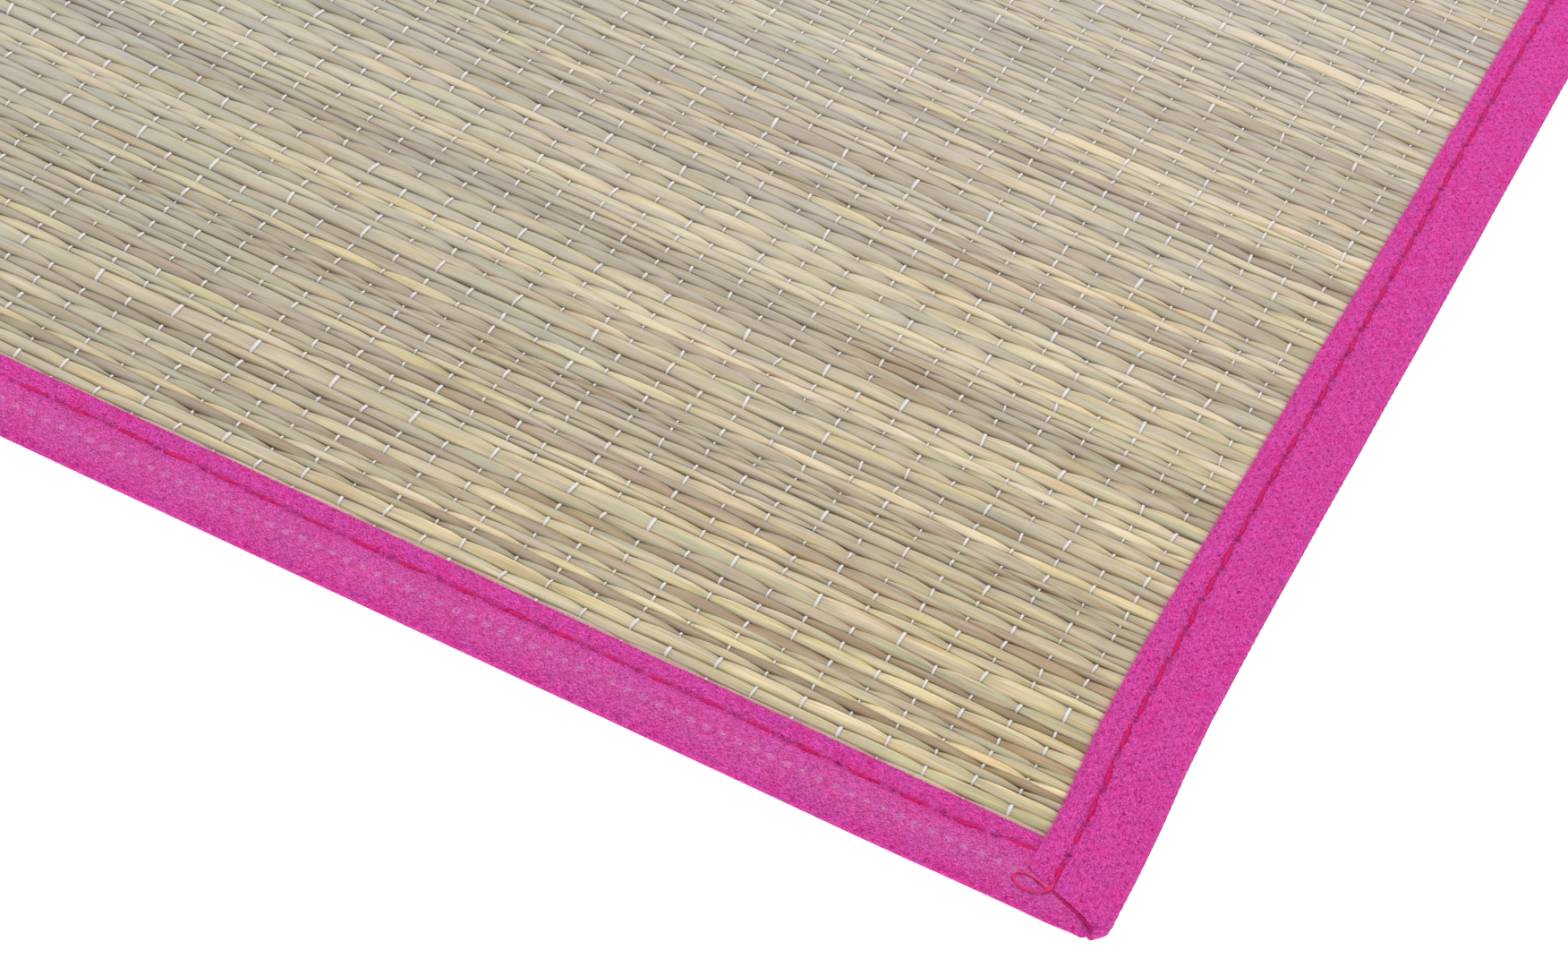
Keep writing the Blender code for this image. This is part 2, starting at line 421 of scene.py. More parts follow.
@dataclass(frozen=True)
class RushFinish:
    """Dried, flattened rush: a satin skin with fine lengthwise fibres, each stem its own shade.

    A tint's share holds the two ends of the range over which its pattern brings it up, its least and its
    most. A swing holds a pattern's factor and what is added to it. bleach_most holds two places along the
    mat, and the most that the rush is bleached at each.
    """

    name: str = "dried_flattened_rush"
    ramp: tuple[tuple[RushTone, str], ...] = (
        (RushTone.BROWN, "8B704D"),
        (RushTone.MAUVE, "9A8762"),
        (RushTone.GREY_BROWN, "A69577"),
        (RushTone.GREY_GREEN, "ABA282"),
        (RushTone.KHAKI, "B9A680"),
        (RushTone.STRAW, "C4B38E"),
        (RushTone.YELLOW, "CEBD8B"),
        (RushTone.CREAM, "DBC9A5"),
    )
    blush: str = "B88D6C"
    bleached: str = "ABA9AA"
    # The tint that makes the rush darker towards the left.
    darker_left: str = "F2F4EF"
    rosy: str = "FFE4D4"
    green: str = "E8F8DC"
    golden: str = "FFF3CC"
    ashen: str = "F0F3FF"
    # crack: real splits in the rush, and painted shade in its folds near the stitches.
    crack_and_fold_shade: str = "6C5535"
    # shadow: the painted shade in the creases between straws.
    shadow: str = "4C391E"
    fibres: Streak = Streak(16 * MM, 0.24 * MM, 3.0)
    patches: Streak = Streak(34 * MM, 2.8 * MM, 1.0)
    stains: Streak = Streak(60 * MM, 2.0 * MM, 0.0, 7.3)
    hues: Streak = Streak(60 * MM, 4.0 * MM, 1.0, 11.9)
    glows: Streak = Streak(44 * MM, 3.4 * MM, 1.0, 17.3)
    splits: Streak = Streak(14 * MM, 0.26 * MM, 1.5, 3.1)
    folds: Streak = Streak(26 * MM, 0.75 * MM, 0.0, 5.7)
    fibre_swing: tuple[float, float] = (1.35, -0.65)
    patch_swing: tuple[float, float] = (1.4, -0.70)
    blush_share: tuple[float, ...] = (0.62, 0.80, 0.0, 0.36)
    rosy_share: tuple[float, ...] = (0.55, 0.70, 0.0, 0.45)
    green_share: tuple[float, ...] = (0.50, 0.34, 0.0, 0.6)
    golden_share: tuple[float, ...] = (0.53, 0.68, 0.0, 0.5)
    ashen_share: tuple[float, ...] = (0.48, 0.33, 0.0, 0.6)
    crack_and_fold_shade_share: tuple[float, ...] = (0.42, 0.30, 0.0, 0.55)
    bleach_way: tuple[float, float, float] = (-1.0, 1.0, 0.0)
    bleach_range: tuple[float, float] = (-1.17, -0.62)
    bleach_most: tuple[float, ...] = (-0.40, 0.10, 0.60, 0.44)
    bleach_swing: tuple[float, float] = (-1.7, 1.85)
    bleach_clears: float = 0.9
    darker_left_range: tuple[float, float] = (0.19, 0.02)
    # How much more often the dark lines come where a stem is gathered in: painted shade in its folds.
    fold_shade_near_stitches: float = 0.13
    roughness: float = 0.56
    specular: float = 0.4
    fibre_relief: float = 0.05 * MM
    fold_relief: float = 0.08 * MM

    def build(self) -> Material:
        """Makes the material: a satin, fibrous skin with painted shade in the creases, paler far from the
        near corner.

        Returns:
            The material.
        """
        material, tree, shader = new_material(self.name)
        fibre = add_node(tree, "ShaderNodeAttribute", attribute_name="fibre").outputs["Vector"]
        # crease holds how much painted shade falls in the creases between straws.
        tone, stain, crease, gathered = (
            add_node(tree, "ShaderNodeAttribute", attribute_name=name).outputs["Fac"]
            for name in ("tone", "stain", "crease", "gathered")
        )
        fine = self.fibres.build(tree, fibre)
        patch = self.patches.build(tree, fibre)
        lean = add_node(tree, "ShaderNodeMath", (patch, *self.patch_swing), operation="MULTIPLY_ADD")
        own = add_node(tree, "ShaderNodeMath", (tone, lean.outputs[0]), operation="ADD")
        grain = add_node(tree, "ShaderNodeMath", (fine, *self.fibre_swing), operation="MULTIPLY_ADD")
        lead = add_node(tree, "ShaderNodeMath", (own.outputs[0], grain.outputs[0]), operation="ADD")
        stained = add_node(tree, "ShaderNodeMath", (self.stains.build(tree, fibre), stain), operation="ADD")
        hue = self.hues.build(tree, fibre)
        glow = self.glows.build(tree, fibre)
        tints = (
            (stained.outputs[0], self.blush_share, self.blush, "MIX"),
            (hue, self.rosy_share, self.rosy, "MULTIPLY"),
            (hue, self.green_share, self.green, "MULTIPLY"),
            (glow, self.golden_share, self.golden, "MULTIPLY"),
            (glow, self.ashen_share, self.ashen, "MULTIPLY"),
        )
        layers = tuple(
            (add_node(tree, "ShaderNodeMapRange", (pattern, *share)).outputs[0], code, blend)
            for pattern, share, code, blend in tints
        )
        colour = layered(tree, self._shades(tree, lead.outputs[0]), layers)
        paled, leftwards = self._fading(tree)
        uneven = add_node(tree, "ShaderNodeMath", (glow, *self.bleach_swing), operation="MULTIPLY_ADD")
        patchy = add_node(tree, "ShaderNodeMath", (paled, uneven.outputs[0]), operation="MULTIPLY")
        # clear: how much of the dark lines and of the painted crease shade is kept; less where the rush is
        # paled.
        clear = add_node(
            tree, "ShaderNodeMath", (paled, -self.bleach_clears, 1.0), operation="MULTIPLY_ADD"
        ).outputs[0]
        split = self.splits.build(tree, fibre)
        # Where the stem is gathered in at a stitch, the dark lines come more often: painted shade in its
        # folds.
        drawn = add_node(tree, "ShaderNodeMath", (gathered, -self.fold_shade_near_stitches, split), operation="MULTIPLY_ADD")
        cracks_and_fold_shade = add_node(tree, "ShaderNodeMapRange", (drawn.outputs[0], *self.crack_and_fold_shade_share))
        split_and_fold_shading, crease_shading = (
            add_node(tree, "ShaderNodeMath", (share, clear), operation="MULTIPLY").outputs[0]
            for share in (cracks_and_fold_shade.outputs[0], crease)
        )
        worn = (
            (patchy.outputs[0], self.bleached, "MIX"),
            # Darker towards the left.
            (leftwards, self.darker_left, "MULTIPLY"),
            # Real splits, with painted shade in the folds near the stitches.
            (split_and_fold_shading, self.crack_and_fold_shade, "MIX"),
            # Painted shade in the creases between straws.
            (crease_shading, self.shadow, "MIX"),
        )
        tree.links.new(layered(tree, colour, worn), shader.inputs["Base Color"])
        folded = add_node(
            tree, "ShaderNodeBump",
            {"Height": self.folds.build(tree, fibre), "Distance": self.fold_relief, "Strength": 1.0},
        )
        relief = add_node(
            tree, "ShaderNodeBump",
            {"Height": fine, "Distance": self.fibre_relief, "Strength": 1.0, "Normal": folded.outputs[0]},
        )
        tree.links.new(relief.outputs[0], shader.inputs["Normal"])
        shader.inputs["Roughness"].default_value = self.roughness
        shader.inputs["Specular IOR Level"].default_value = self.specular
        return material

    def _shades(self, tree: Tree, lead: Socket) -> Socket:
        """The stem's own shade, read off the ramp of tones.

        Args:
            tree: The material's tree.
            lead: The place on the ramp.

        Returns:
            The shade.
        """
        ramp = add_node(tree, "ShaderNodeValToRGB", {"Fac": lead})
        bands = ramp.color_ramp.elements
        while len(bands) < len(self.ramp):
            bands.new(0.5)
        for element, (where, code) in zip(bands, self.ramp):
            element.position = where.value
            element.color = linear(code)
        return ramp.outputs["Color"]

    def _fading(self, tree: Tree) -> tuple[Socket, Socket]:
        """How the sun has bleached the mat away from the near corner, and how much darker its left part is
        made.

        Args:
            tree: The material's tree.

        Returns:
            How bleached the rush is, and how much darker.
        """
        place = add_node(tree, "ShaderNodeTexCoord").outputs["Object"]
        across, along, _ = add_node(tree, "ShaderNodeSeparateXYZ", (place,)).outputs
        away = add_node(tree, "ShaderNodeVectorMath", (place, self.bleach_way), operation="DOT_PRODUCT")
        most = add_node(tree, "ShaderNodeMapRange", (along, *self.bleach_most)).outputs[0]
        paled = add_node(
            tree, "ShaderNodeMapRange", (away.outputs["Value"], *self.bleach_range, 0.0, most)
        )
        leftwards = add_node(tree, "ShaderNodeMapRange", (across, *self.darker_left_range))
        return paled.outputs[0], leftwards.outputs[0]


@dataclass(frozen=True)
class FeltFinish:
    """Thin nonwoven polyester felt: matt, mottled with short curling fibres, and pressed in rows of dots."""

    name: str = "pink_nonwoven_felt"
    deep: str = "AC0C70"
    light: str = "EF54B8"
    dot: str = "9C085C"
    worn: str = "E08CC6"
    # The painted shadow round each needle hole.
    hole_shadow: str = "7E0840"
    redder: str = "FFB4E0"
    cooler: str = "F2FFFF"
    patch: float = 6 * MM
    patch_most: float = 0.6
    cloud: float = 1.3 * MM
    cloud_contrast: float = 1.6
    mark_pitch: float = 4.1 * MM
    mark_line: float = 9.9 * MM
    mark_size: float = 1.4 * MM
    mark_most: float = 0.42
    rubbed_reach: tuple[float, float] = (8 * MM, 4 * MM)
    rubbed_most: float = 0.13
    fibre: float = 0.34 * MM  # Real fibres are a tenth as wide. These are as coarse as they need be to show.
    fibre_curl: float = 2.2
    fibre_swing: tuple[float, float] = (1.6, -1.02)
    fibre_turns: tuple[float, ...] = (0.3, 1.4, 2.5)
    dot_along: float = 4.1 * MM
    dot_across: float = 3.7 * MM
    dot_strength: float = 0.42
    dot_press: float = 0.7
    wear: float = 4 * MM
    relief: float = 0.2 * MM
    roughness: float = 0.95
    specular: float = 0.08

    def build(self) -> Material:
        """Makes the material: fuzzy and matt, two pinks mixed fibre by fibre, with rows of pressed dots.

        Returns:
            The material.
        """
        material, tree, shader = new_material(self.name)
        place = add_node(tree, "ShaderNodeAttribute", attribute_name="tape").outputs["Vector"]
        sway = add_node(
            tree, "ShaderNodeTexNoise", {"Vector": place, "Scale": 0.6 / self.fibre, "Detail": 1.0}
        )
        curl = (self.fibre_curl * self.fibre, self.fibre_curl * self.fibre, 0.0)
        bent = add_node(
            tree, "ShaderNodeVectorMath", (sway.outputs["Color"], curl, place), operation="MULTIPLY_ADD"
        ).outputs[0]
        fibres = self._strands(tree, bent, self.fibre_turns[0])
        for turn in self.fibre_turns[1:]:
            both = (fibres, self._strands(tree, bent, turn))
            fibres = add_node(tree, "ShaderNodeMath", both, operation="MAXIMUM").outputs[0]
        cloud = add_node(
            tree, "ShaderNodeTexNoise",
            {"Vector": place, "Scale": 1 / self.cloud, "Detail": 4.0, "Roughness": 0.7},
        ).outputs["Fac"]
        raised = add_node(tree, "ShaderNodeMath", (fibres, *self.fibre_swing), operation="MULTIPLY_ADD")
        lit = add_node(
            tree, "ShaderNodeMath", (cloud, self.cloud_contrast, raised.outputs[0]), operation="MULTIPLY_ADD"
        ).outputs[0]
        two_pinks = add_node(
            tree, "ShaderNodeMix", {"Factor": lit, 6: linear(self.deep), 7: linear(self.light)},
            data_type="RGBA",
        )
        pressed = self._dots(tree, bent)
        dotted = add_node(
            tree, "ShaderNodeMath", (pressed, self._dot_strength(tree, place)), operation="MULTIPLY"
        ).outputs[0]
        # needle holds the painted shadow round each needle hole.
        needle = add_node(tree, "ShaderNodeAttribute", attribute_name="needle").outputs["Fac"]
        layers = (
            *self._mottle(tree, place),
            (dotted, self.dot, "MIX"),
            (needle, self.hole_shadow, "MIX"),
            (self._feed_marks(tree, place, lit), self.worn, "MIX"),
        )
        tree.links.new(layered(tree, two_pinks.outputs[2], layers), shader.inputs["Base Color"])
        height = add_node(
            tree, "ShaderNodeMath", (pressed, -self.dot_press, fibres), operation="MULTIPLY_ADD"
        )
        bump = add_node(
            tree, "ShaderNodeBump", {"Height": height.outputs[0], "Distance": self.relief, "Strength": 1.0}
        )
        tree.links.new(bump.outputs[0], shader.inputs["Normal"])
        shader.inputs["Roughness"].default_value = self.roughness
        shader.inputs["Specular IOR Level"].default_value = self.specular
        return material

    def _strands(self, tree: Tree, place: Socket, turn: float) -> Socket:
        """Thin curling lines that run mostly one way.

        Args:
            tree: The material's tree.
            place: The place on the tape.
            turn: The way that the fibres run.

        Returns:
            1 on a fibre and 0 between fibres.
        """
        laid = add_node(
            tree, "ShaderNodeMapping",
            {
                "Vector": place,
                "Rotation": (0.0, 0.0, turn),
                "Scale": (0.35 / self.fibre, 1.3 / self.fibre, 1.0),
                "Location": (turn * 7, turn * 3, 0.0),
            },
        )
        spots = add_node(tree, "ShaderNodeTexNoise", {"Vector": laid.outputs[0], "Scale": 1.0, "Detail": 1.5})
        beside = add_node(tree, "ShaderNodeMath", (spots.outputs["Fac"], 0.5), operation="SUBTRACT")
        off = add_node(tree, "ShaderNodeMath", (beside.outputs[0],), operation="ABSOLUTE")
        return add_node(tree, "ShaderNodeMapRange", (off.outputs[0], 0.0, 0.09, 1.0, 0.0)).outputs[0]

    def _mottle(self, tree: Tree, place: Socket) -> tuple[tuple[Socket, str, str], ...]:
        """Patches some millimetres wide where the felt is redder, and others where it is more lilac.

        Args:
            tree: The material's tree.
            place: The place on the tape.

        Returns:
            The two tints as layers.
        """
        drift = add_node(
            tree, "ShaderNodeTexNoise",
            {"Vector": place, "Scale": 1 / self.patch, "Detail": 3.0, "Roughness": 0.6},
        ).outputs["Fac"]
        ranges = ((0.49, 0.68, self.redder), (0.51, 0.32, self.cooler))
        shares = (
            add_node(tree, "ShaderNodeMapRange", (drift, start, end, 0.0, self.patch_most)).outputs[0]
            for start, end, _ in ranges
        )
        return tuple((share, tint, "MULTIPLY") for share, (_, _, tint) in zip(shares, ranges))

    def _feed_marks(self, tree: Tree, place: Socket, lit: Socket) -> Socket:
        """The row of pale spots that the machine's feed teeth leave on a short tape.

        Args:
            tree: The material's tree.
            place: Along the tape, across it from its fold, and 1 on a short tape.
            lit: How light the felt's fibres are, which breaks the spots up.

        Returns:
            How rubbed the felt is.
        """
        along, across, short = add_node(tree, "ShaderNodeSeparateXYZ", (place,)).outputs
        near = add_node(tree, "ShaderNodeMath", (along, self.mark_pitch / 2), operation="PINGPONG")
        beside = add_node(tree, "ShaderNodeMath", (across, self.mark_line), operation="SUBTRACT").outputs[0]
        off = add_node(tree, "ShaderNodeCombineXYZ", (near.outputs[0], beside))
        distance = add_node(tree, "ShaderNodeVectorMath", (off.outputs[0],), operation="LENGTH")
        spot_reach = (self.mark_size, 0.3 * self.mark_size)
        far_off = distance.outputs["Value"]
        spot = add_node(tree, "ShaderNodeMapRange", (far_off, *spot_reach, 0.0, self.mark_most))
        aside = add_node(tree, "ShaderNodeMath", (beside,), operation="ABSOLUTE").outputs[0]
        band = add_node(tree, "ShaderNodeMapRange", (aside, *self.rubbed_reach, 0.0, self.rubbed_most))
        fades = add_node(tree, "ShaderNodeMapRange", (lit, 0.1, 0.9, 0.4, 1.4))
        marks = add_node(tree, "ShaderNodeMath", (spot.outputs[0], band.outputs[0]), operation="ADD")
        worn = add_node(tree, "ShaderNodeMath", (marks.outputs[0], fades.outputs[0]), operation="MULTIPLY")
        return add_node(tree, "ShaderNodeMath", (worn.outputs[0], short), operation="MULTIPLY").outputs[0]

    def _dot_strength(self, tree: Tree, place: Socket) -> Socket:
        """How dark the pressed dots are: rubbed soft on a short tape, and darkest along its fold.

        Args:
            tree: The material's tree.
            place: Along the tape, across it from its fold, and 1 on a short tape.

        Returns:
            The dots' strength.
        """
        _, across, short = add_node(tree, "ShaderNodeSeparateXYZ", (place,)).outputs
        aside = add_node(tree, "ShaderNodeMath", (across,), operation="ABSOLUTE").outputs[0]
        fold = add_node(tree, "ShaderNodeMapRange", (aside, 0.6 * MM, 1.3 * MM, 0.75, 0.3)).outputs[0]
        usual = add_node(
            tree, "ShaderNodeMix", {"Factor": short, "A": self.dot_strength, "B": fold}, data_type="FLOAT"
        )
        worn = add_node(tree, "ShaderNodeTexNoise", {"Vector": place, "Scale": 1 / self.wear, "Detail": 1.0})
        uneven = add_node(tree, "ShaderNodeMapRange", (worn.outputs["Fac"], 0.35, 0.65, 0.35, 1.3))
        both = (usual.outputs[0], uneven.outputs[0])
        return add_node(tree, "ShaderNodeMath", both, operation="MULTIPLY").outputs[0]

    def _dots(self, tree: Tree, place: Socket) -> Socket:
        """The staggered grid of pressed dots.

        Args:
            tree: The material's tree.
            place: The place on the tape.

        Returns:
            1 on a dot and 0 between dots.
        """
        scale = (math.tau / self.dot_along, math.tau / self.dot_across, 1.0)
        scaled = add_node(tree, "ShaderNodeMapping", {"Vector": place, "Scale": scale})
        parts = add_node(tree, "ShaderNodeSeparateXYZ", (scaled.outputs[0],))
        waves = tuple(
            add_node(tree, "ShaderNodeMath", (parts.outputs[axis],), operation="COSINE").outputs[0]
            for axis in (0, 1)
        )
        both = add_node(tree, "ShaderNodeMath", waves, operation="MULTIPLY")
        return add_node(tree, "ShaderNodeMapRange", (both.outputs[0], 0.5, 0.9)).outputs[0]


@dataclass(frozen=True)
class ThreadFinish:
    """Twisted polyester thread, its plies showing as slanted bands of painted shade and relief."""

    name: str
    colour: str
    shade: str
    ply: float = 0.5 * MM
    slant: float = 0.7
    relief: float = 0.08 * MM
    roughness: float = 0.6
    specular: float = 0.12

    def build(self) -> Material:
        """Makes the material: a softly shining thread with shaded plies.

        Returns:
            The material.
        """
        material, tree, shader = new_material(self.name)
        place = add_node(tree, "ShaderNodeTexCoord").outputs["Object"]
        laid = add_node(tree, "ShaderNodeMapping", {"Vector": place, "Rotation": (0.0, 0.0, self.slant)})
        bands = add_node(
            tree, "ShaderNodeTexWave",
            {"Vector": laid.outputs[0], "Scale": 0.314 / self.ply, "Distortion": 1.5, "Detail": 1.0},
        ).outputs["Fac"]
        colour = add_node(
            tree, "ShaderNodeMix", {"Factor": bands, 6: linear(self.shade), 7: linear(self.colour)},
            data_type="RGBA",
        )
        bump = add_node(tree, "ShaderNodeBump", {"Height": bands, "Distance": self.relief, "Strength": 0.7})
        tree.links.new(colour.outputs[2], shader.inputs["Base Color"])
        tree.links.new(bump.outputs[0], shader.inputs["Normal"])
        shader.inputs["Roughness"].default_value = self.roughness
        shader.inputs["Specular IOR Level"].default_value = self.specular
        return material


class RowKind(Enum):
    """How far a straw gives where a thread crosses it: the share of its width that is left."""

    SOFT = 0.40
    USUAL = 0.55
    FIRM = 0.70
    STIFF = 0.88


@dataclass
class Weave:
    """Where each straw and each warp thread lies, and how the threads draw the straws in.

    corner_rows holds the width in millimetres, kind and tone of each straw from the near short edge on.
    marked_rows holds single straws further up: place, width, kind, tone and how stained they are.
    """

    low: Vector
    high: Vector
    right_edge: float = 296.7 * MM
    half_length: float = 900 * MM
    first_thread: float = 29.7 * MM
    thread_pitch: float = 11.05 * MM
    threads: int = 49
    hidden_threads: int = 3
    straw_width: float = 3.1 * MM
    width_spread: float = 0.31
    narrowest: float = 1.8 * MM
    widest: float = 6.0 * MM
    first_row: float = 24.2 * MM
    tone_middle: float = 0.48
    tone_spread: float = 0.27
    bundle_spread: float = 0.20
    bundle: int = 3
    window: int = 17
    evenness: float = 0.85
    even_tone: float = 0.47
    tone_drift: float = 0.10
    sink: float = 0.34 * MM
    taper: float = 0.30 * MM
    edge_stray: float = 0.17 * MM
    tilt: float = 0.12 * MM
    give_spread: float = 0.12
    thread_stray: float = 0.35 * MM
    odd_thread: tuple[int, float] = (13, -1.9 * MM)
    gap: float = 0.12 * MM
    seed: int = 11
    corner_rows: tuple = (
        (3.3, RowKind.FIRM, RushTone.GREY_GREEN),
        (3.7, RowKind.STIFF, RushTone.KHAKI),
        (3.9, RowKind.STIFF, RushTone.STRAW),
        (2.4, RowKind.SOFT, RushTone.GREY_BROWN),
        (2.6, RowKind.USUAL, RushTone.BROWN),
        (2.0, RowKind.SOFT, RushTone.CREAM),
        (3.0, RowKind.FIRM, RushTone.GREY_GREEN),
        (2.0, RowKind.USUAL, RushTone.GREY_GREEN),
        (3.6, RowKind.FIRM, RushTone.MAUVE),
        (3.9, RowKind.FIRM, RushTone.STRAW),
        (3.2, RowKind.STIFF, RushTone.KHAKI),
        (3.2, RowKind.FIRM, RushTone.BROWN),
        (3.7, RowKind.FIRM, RushTone.GREY_GREEN),
        (5.6, RowKind.STIFF, RushTone.KHAKI),
        (2.9, RowKind.FIRM, RushTone.YELLOW),
        (2.4, RowKind.USUAL, RushTone.GREY_BROWN),
    )
    marked_rows: tuple = (
        (78 * MM, 3.8, RowKind.FIRM, RushTone.MAUVE, 0.22),
        (108 * MM, 3.0, RowKind.FIRM, RushTone.YELLOW, 0.0),
        (120 * MM, 5.4, RowKind.STIFF, RushTone.GREY_GREEN, 0.0),
        (134 * MM, 2.8, RowKind.USUAL, RushTone.CREAM, 0.0),
        (143 * MM, 5.2, RowKind.STIFF, RushTone.KHAKI, 0.0),
        (172 * MM, 3.0, RowKind.FIRM, RushTone.CREAM, 0.0),
        (201 * MM, 3.3, RowKind.USUAL, RushTone.BROWN, 0.0),
        (210 * MM, 3.8, RowKind.FIRM, RushTone.YELLOW, 0.20),
        (251 * MM, 5.0, RowKind.STIFF, RushTone.GREY_GREEN, 0.0),
        (296 * MM, 3.0, RowKind.FIRM, RushTone.YELLOW, 0.12),
    )
    rows: int = field(init=False)
    first_seen: int = field(init=False)
    edges: np.ndarray = field(init=False)
    kept: np.ndarray = field(init=False)
    tones: np.ndarray = field(init=False)
    stains: np.ndarray = field(init=False)
    drifts: np.ndarray = field(init=False)
    sunk: np.ndarray = field(init=False)
    tapers: np.ndarray = field(init=False)
    thread_x: np.ndarray = field(init=False)
    tilts: np.ndarray = field(init=False)
    faces: dict = field(init=False)

    def __post_init__(self) -> None:
        """Works out the straws' edges and kinds, the threads' places and the drawn-in widths."""
        draw = np.random.default_rng(self.seed)
        self._lay_rows(draw)
        self._lay_threads(draw)
        self._draw_in(draw)

    def _lay_rows(self, draw: np.random.Generator) -> None:
        """Sets each straw's edges, tone and stiffness, from the near short edge to the far one.

        Args:
            draw: The source of the unevenness.
        """
        start = -self.half_length + self.first_row
        under = round((start - self.low.y) / self.straw_width)
        edges = list(np.linspace(self.low.y, start, under + 1))
        self.first_seen = under
        kinds = [RowKind.USUAL.value] * under
        tones = [RushTone.GREY_GREEN.value] * under
        for width, kind, tone in self.corner_rows:
            edges.append(edges[-1] + width * MM)
            kinds.append(kind.value)
            tones.append(tone.value)
        told = len(kinds)
        stains = [0.0] * told
        marked = list(self.marked_rows)
        while edges[-1] < self.high.y:
            if marked and edges[-1] + self.half_length > marked[0][0]:
                _, width, kind, tone, stain = marked.pop(0)
                edges.append(edges[-1] + width * MM)
                kinds.append(kind.value)
                tones.append(tone.value)
                stains.append(stain)
                continue
            stains.append(0.0)
            wide = self.straw_width * draw.lognormal(0, self.width_spread)
            width = float(np.clip(wide, self.narrowest, self.widest))
            edges.append(edges[-1] + width)
            kinds.append(float(np.clip(draw.normal(0.27 + 0.12 * width / MM, 0.14), 0.26, 0.94)))
            tones.append(float(np.clip(draw.normal(self.tone_middle, self.tone_spread), 0.02, 0.98)))
        laid = np.array(edges)
        stretch = (self.high.y - laid[under]) / (laid[-1] - laid[under])
        stretched = laid[under] + (laid - laid[under]) * stretch
        self.edges = np.where(np.arange(len(laid)) <= under, laid, stretched)
        self.rows = len(self.edges) - 1
        self.kept = np.array(kinds)
        self.tones = self._bundled(tones, told)
        self.stains = np.array(stains)
        self.drifts = draw.normal(0, self.tone_drift, self.rows)
        self.sunk = draw.uniform(0, self.sink, self.rows)
        self.tapers = draw.normal(0, self.taper, self.rows + 1)

    def _bundled(self, tones: list[float], told: int) -> np.ndarray:
        """Makes neighbouring straws alike, as from one bundle, and evens out broad bands of one tone.

        Args:
            tones: Each straw's tone.
            told: How many straws, from the near edge, keep the tone that they are given.

        Returns:
            The new tones.
        """
        count, window = self.bundle, self.window
        strays = np.random.default_rng(self.seed + 1).normal(0, self.bundle_spread, self.rows + count - 1)
        bundled = np.array(tones) + np.convolve(strays, np.full(count, 1 / count), "valid")
        level = np.convolve(np.pad(bundled, window // 2, "edge"), np.full(window, 1 / window), "valid")
        evened = bundled - self.evenness * (level - self.even_tone)
        return np.clip(np.concatenate([tones[:told], evened[told:]]), 0.02, 0.98)

    def _lay_threads(self, draw: np.random.Generator) -> None:
        """Sets each thread's X, from the right to the left. Some lie under the long bindings.

        Args:
            draw: The source of the unevenness.
        """
        count = self.threads + 2 * self.hidden_threads
        order = np.arange(count) - self.hidden_threads
        strayed = draw.normal(0, self.thread_stray, count)
        number, off = self.odd_thread
        strayed[self.hidden_threads + number] = off
        self.thread_x = self.right_edge - self.first_thread - order * self.thread_pitch + strayed
        self.thread_x = np.clip(self.thread_x, self.low.x, self.high.x)
        self.thread_x[0], self.thread_x[-1] = self.high.x, self.low.x

    def boundary(self, number: np.ndarray, x: np.ndarray) -> np.ndarray:
        """Y of the line between two neighbouring straws at an X, before the threads draw them in.

        Args:
            number: The number of the line, counted from the near short edge.
            x: The place along the straws.

        Returns:
            Y of the line.
        """
        y = self.edges[number]
        inside = ease(np.minimum(y - self.low.y, self.high.y - y) / (30 * MM))
        long_wave = 0.45 * MM * np.sin(x / (83 * MM) + y / (61 * MM))
        wave = long_wave + 0.35 * MM * np.sin(x / (37 * MM) - y / (29 * MM))
        return y + inside * (wave + self.tapers[number] * x / self.high.x)

    def _draw_in(self, draw: np.random.Generator) -> None:
        """Works out both edges of each straw at each thread, above and below.

        Args:
            draw: The source of the unevenness.
        """
        rows, count = self.rows, len(self.thread_x)
        number = np.arange(rows)[:, None]
        x = np.broadcast_to(self.thread_x, (rows, count))
        strays = draw.normal(0, self.edge_stray, (rows + 1, count))
        strays[:4] = strays[-4:] = 0.0
        lower = self.boundary(np.broadcast_to(number, x.shape), x) + strays[:-1]
        upper = self.boundary(np.broadcast_to(number + 1, x.shape), x) + strays[1:]
        self.tilts = draw.normal(0, self.tilt, (rows, count))
        middle, half = (lower + upper) / 2, (upper - lower) / 2
        kept = np.clip(self.kept[:, None] * draw.normal(1, self.give_spread, (rows, count)), 0.2, 0.96)
        hidden = np.ones(count, bool)
        hidden[self.hidden_threads:-self.hidden_threads] = False
        kept[:, hidden] = np.maximum(kept[:, hidden], 0.8)
        fills = np.minimum(1.05 - 0.36 * self.kept, 0.9)[:, None]
        self.faces = {}
        for face, turn in (("top", 1), ("base", 0)):
            drawn = (number + np.arange(count) + self.first_seen + self.hidden_threads + turn) % 2 == 0
            up = middle + half * kept
            down = middle - half * kept
            next_down = np.vstack([down[1:], upper[-1:]])
            last_up = np.vstack([lower[:1], up[:-1]])
            up = np.where(drawn, up, upper + fills * (next_down - upper) - self.gap)
            down = np.where(drawn, down, lower + fills * (last_up - lower) + self.gap)
            self.faces[face] = (down, up, drawn)


class Detail(Enum):
    """Where along half a lens the straws get a ring of points, from its drawn-in end to its widest."""

    CLOSE = (0.0, 0.1, 0.25, 0.52, 1.0)
    MIDDLE = (0.0, 0.14, 0.42, 1.0)
    PLAIN = (0.0, 0.45)


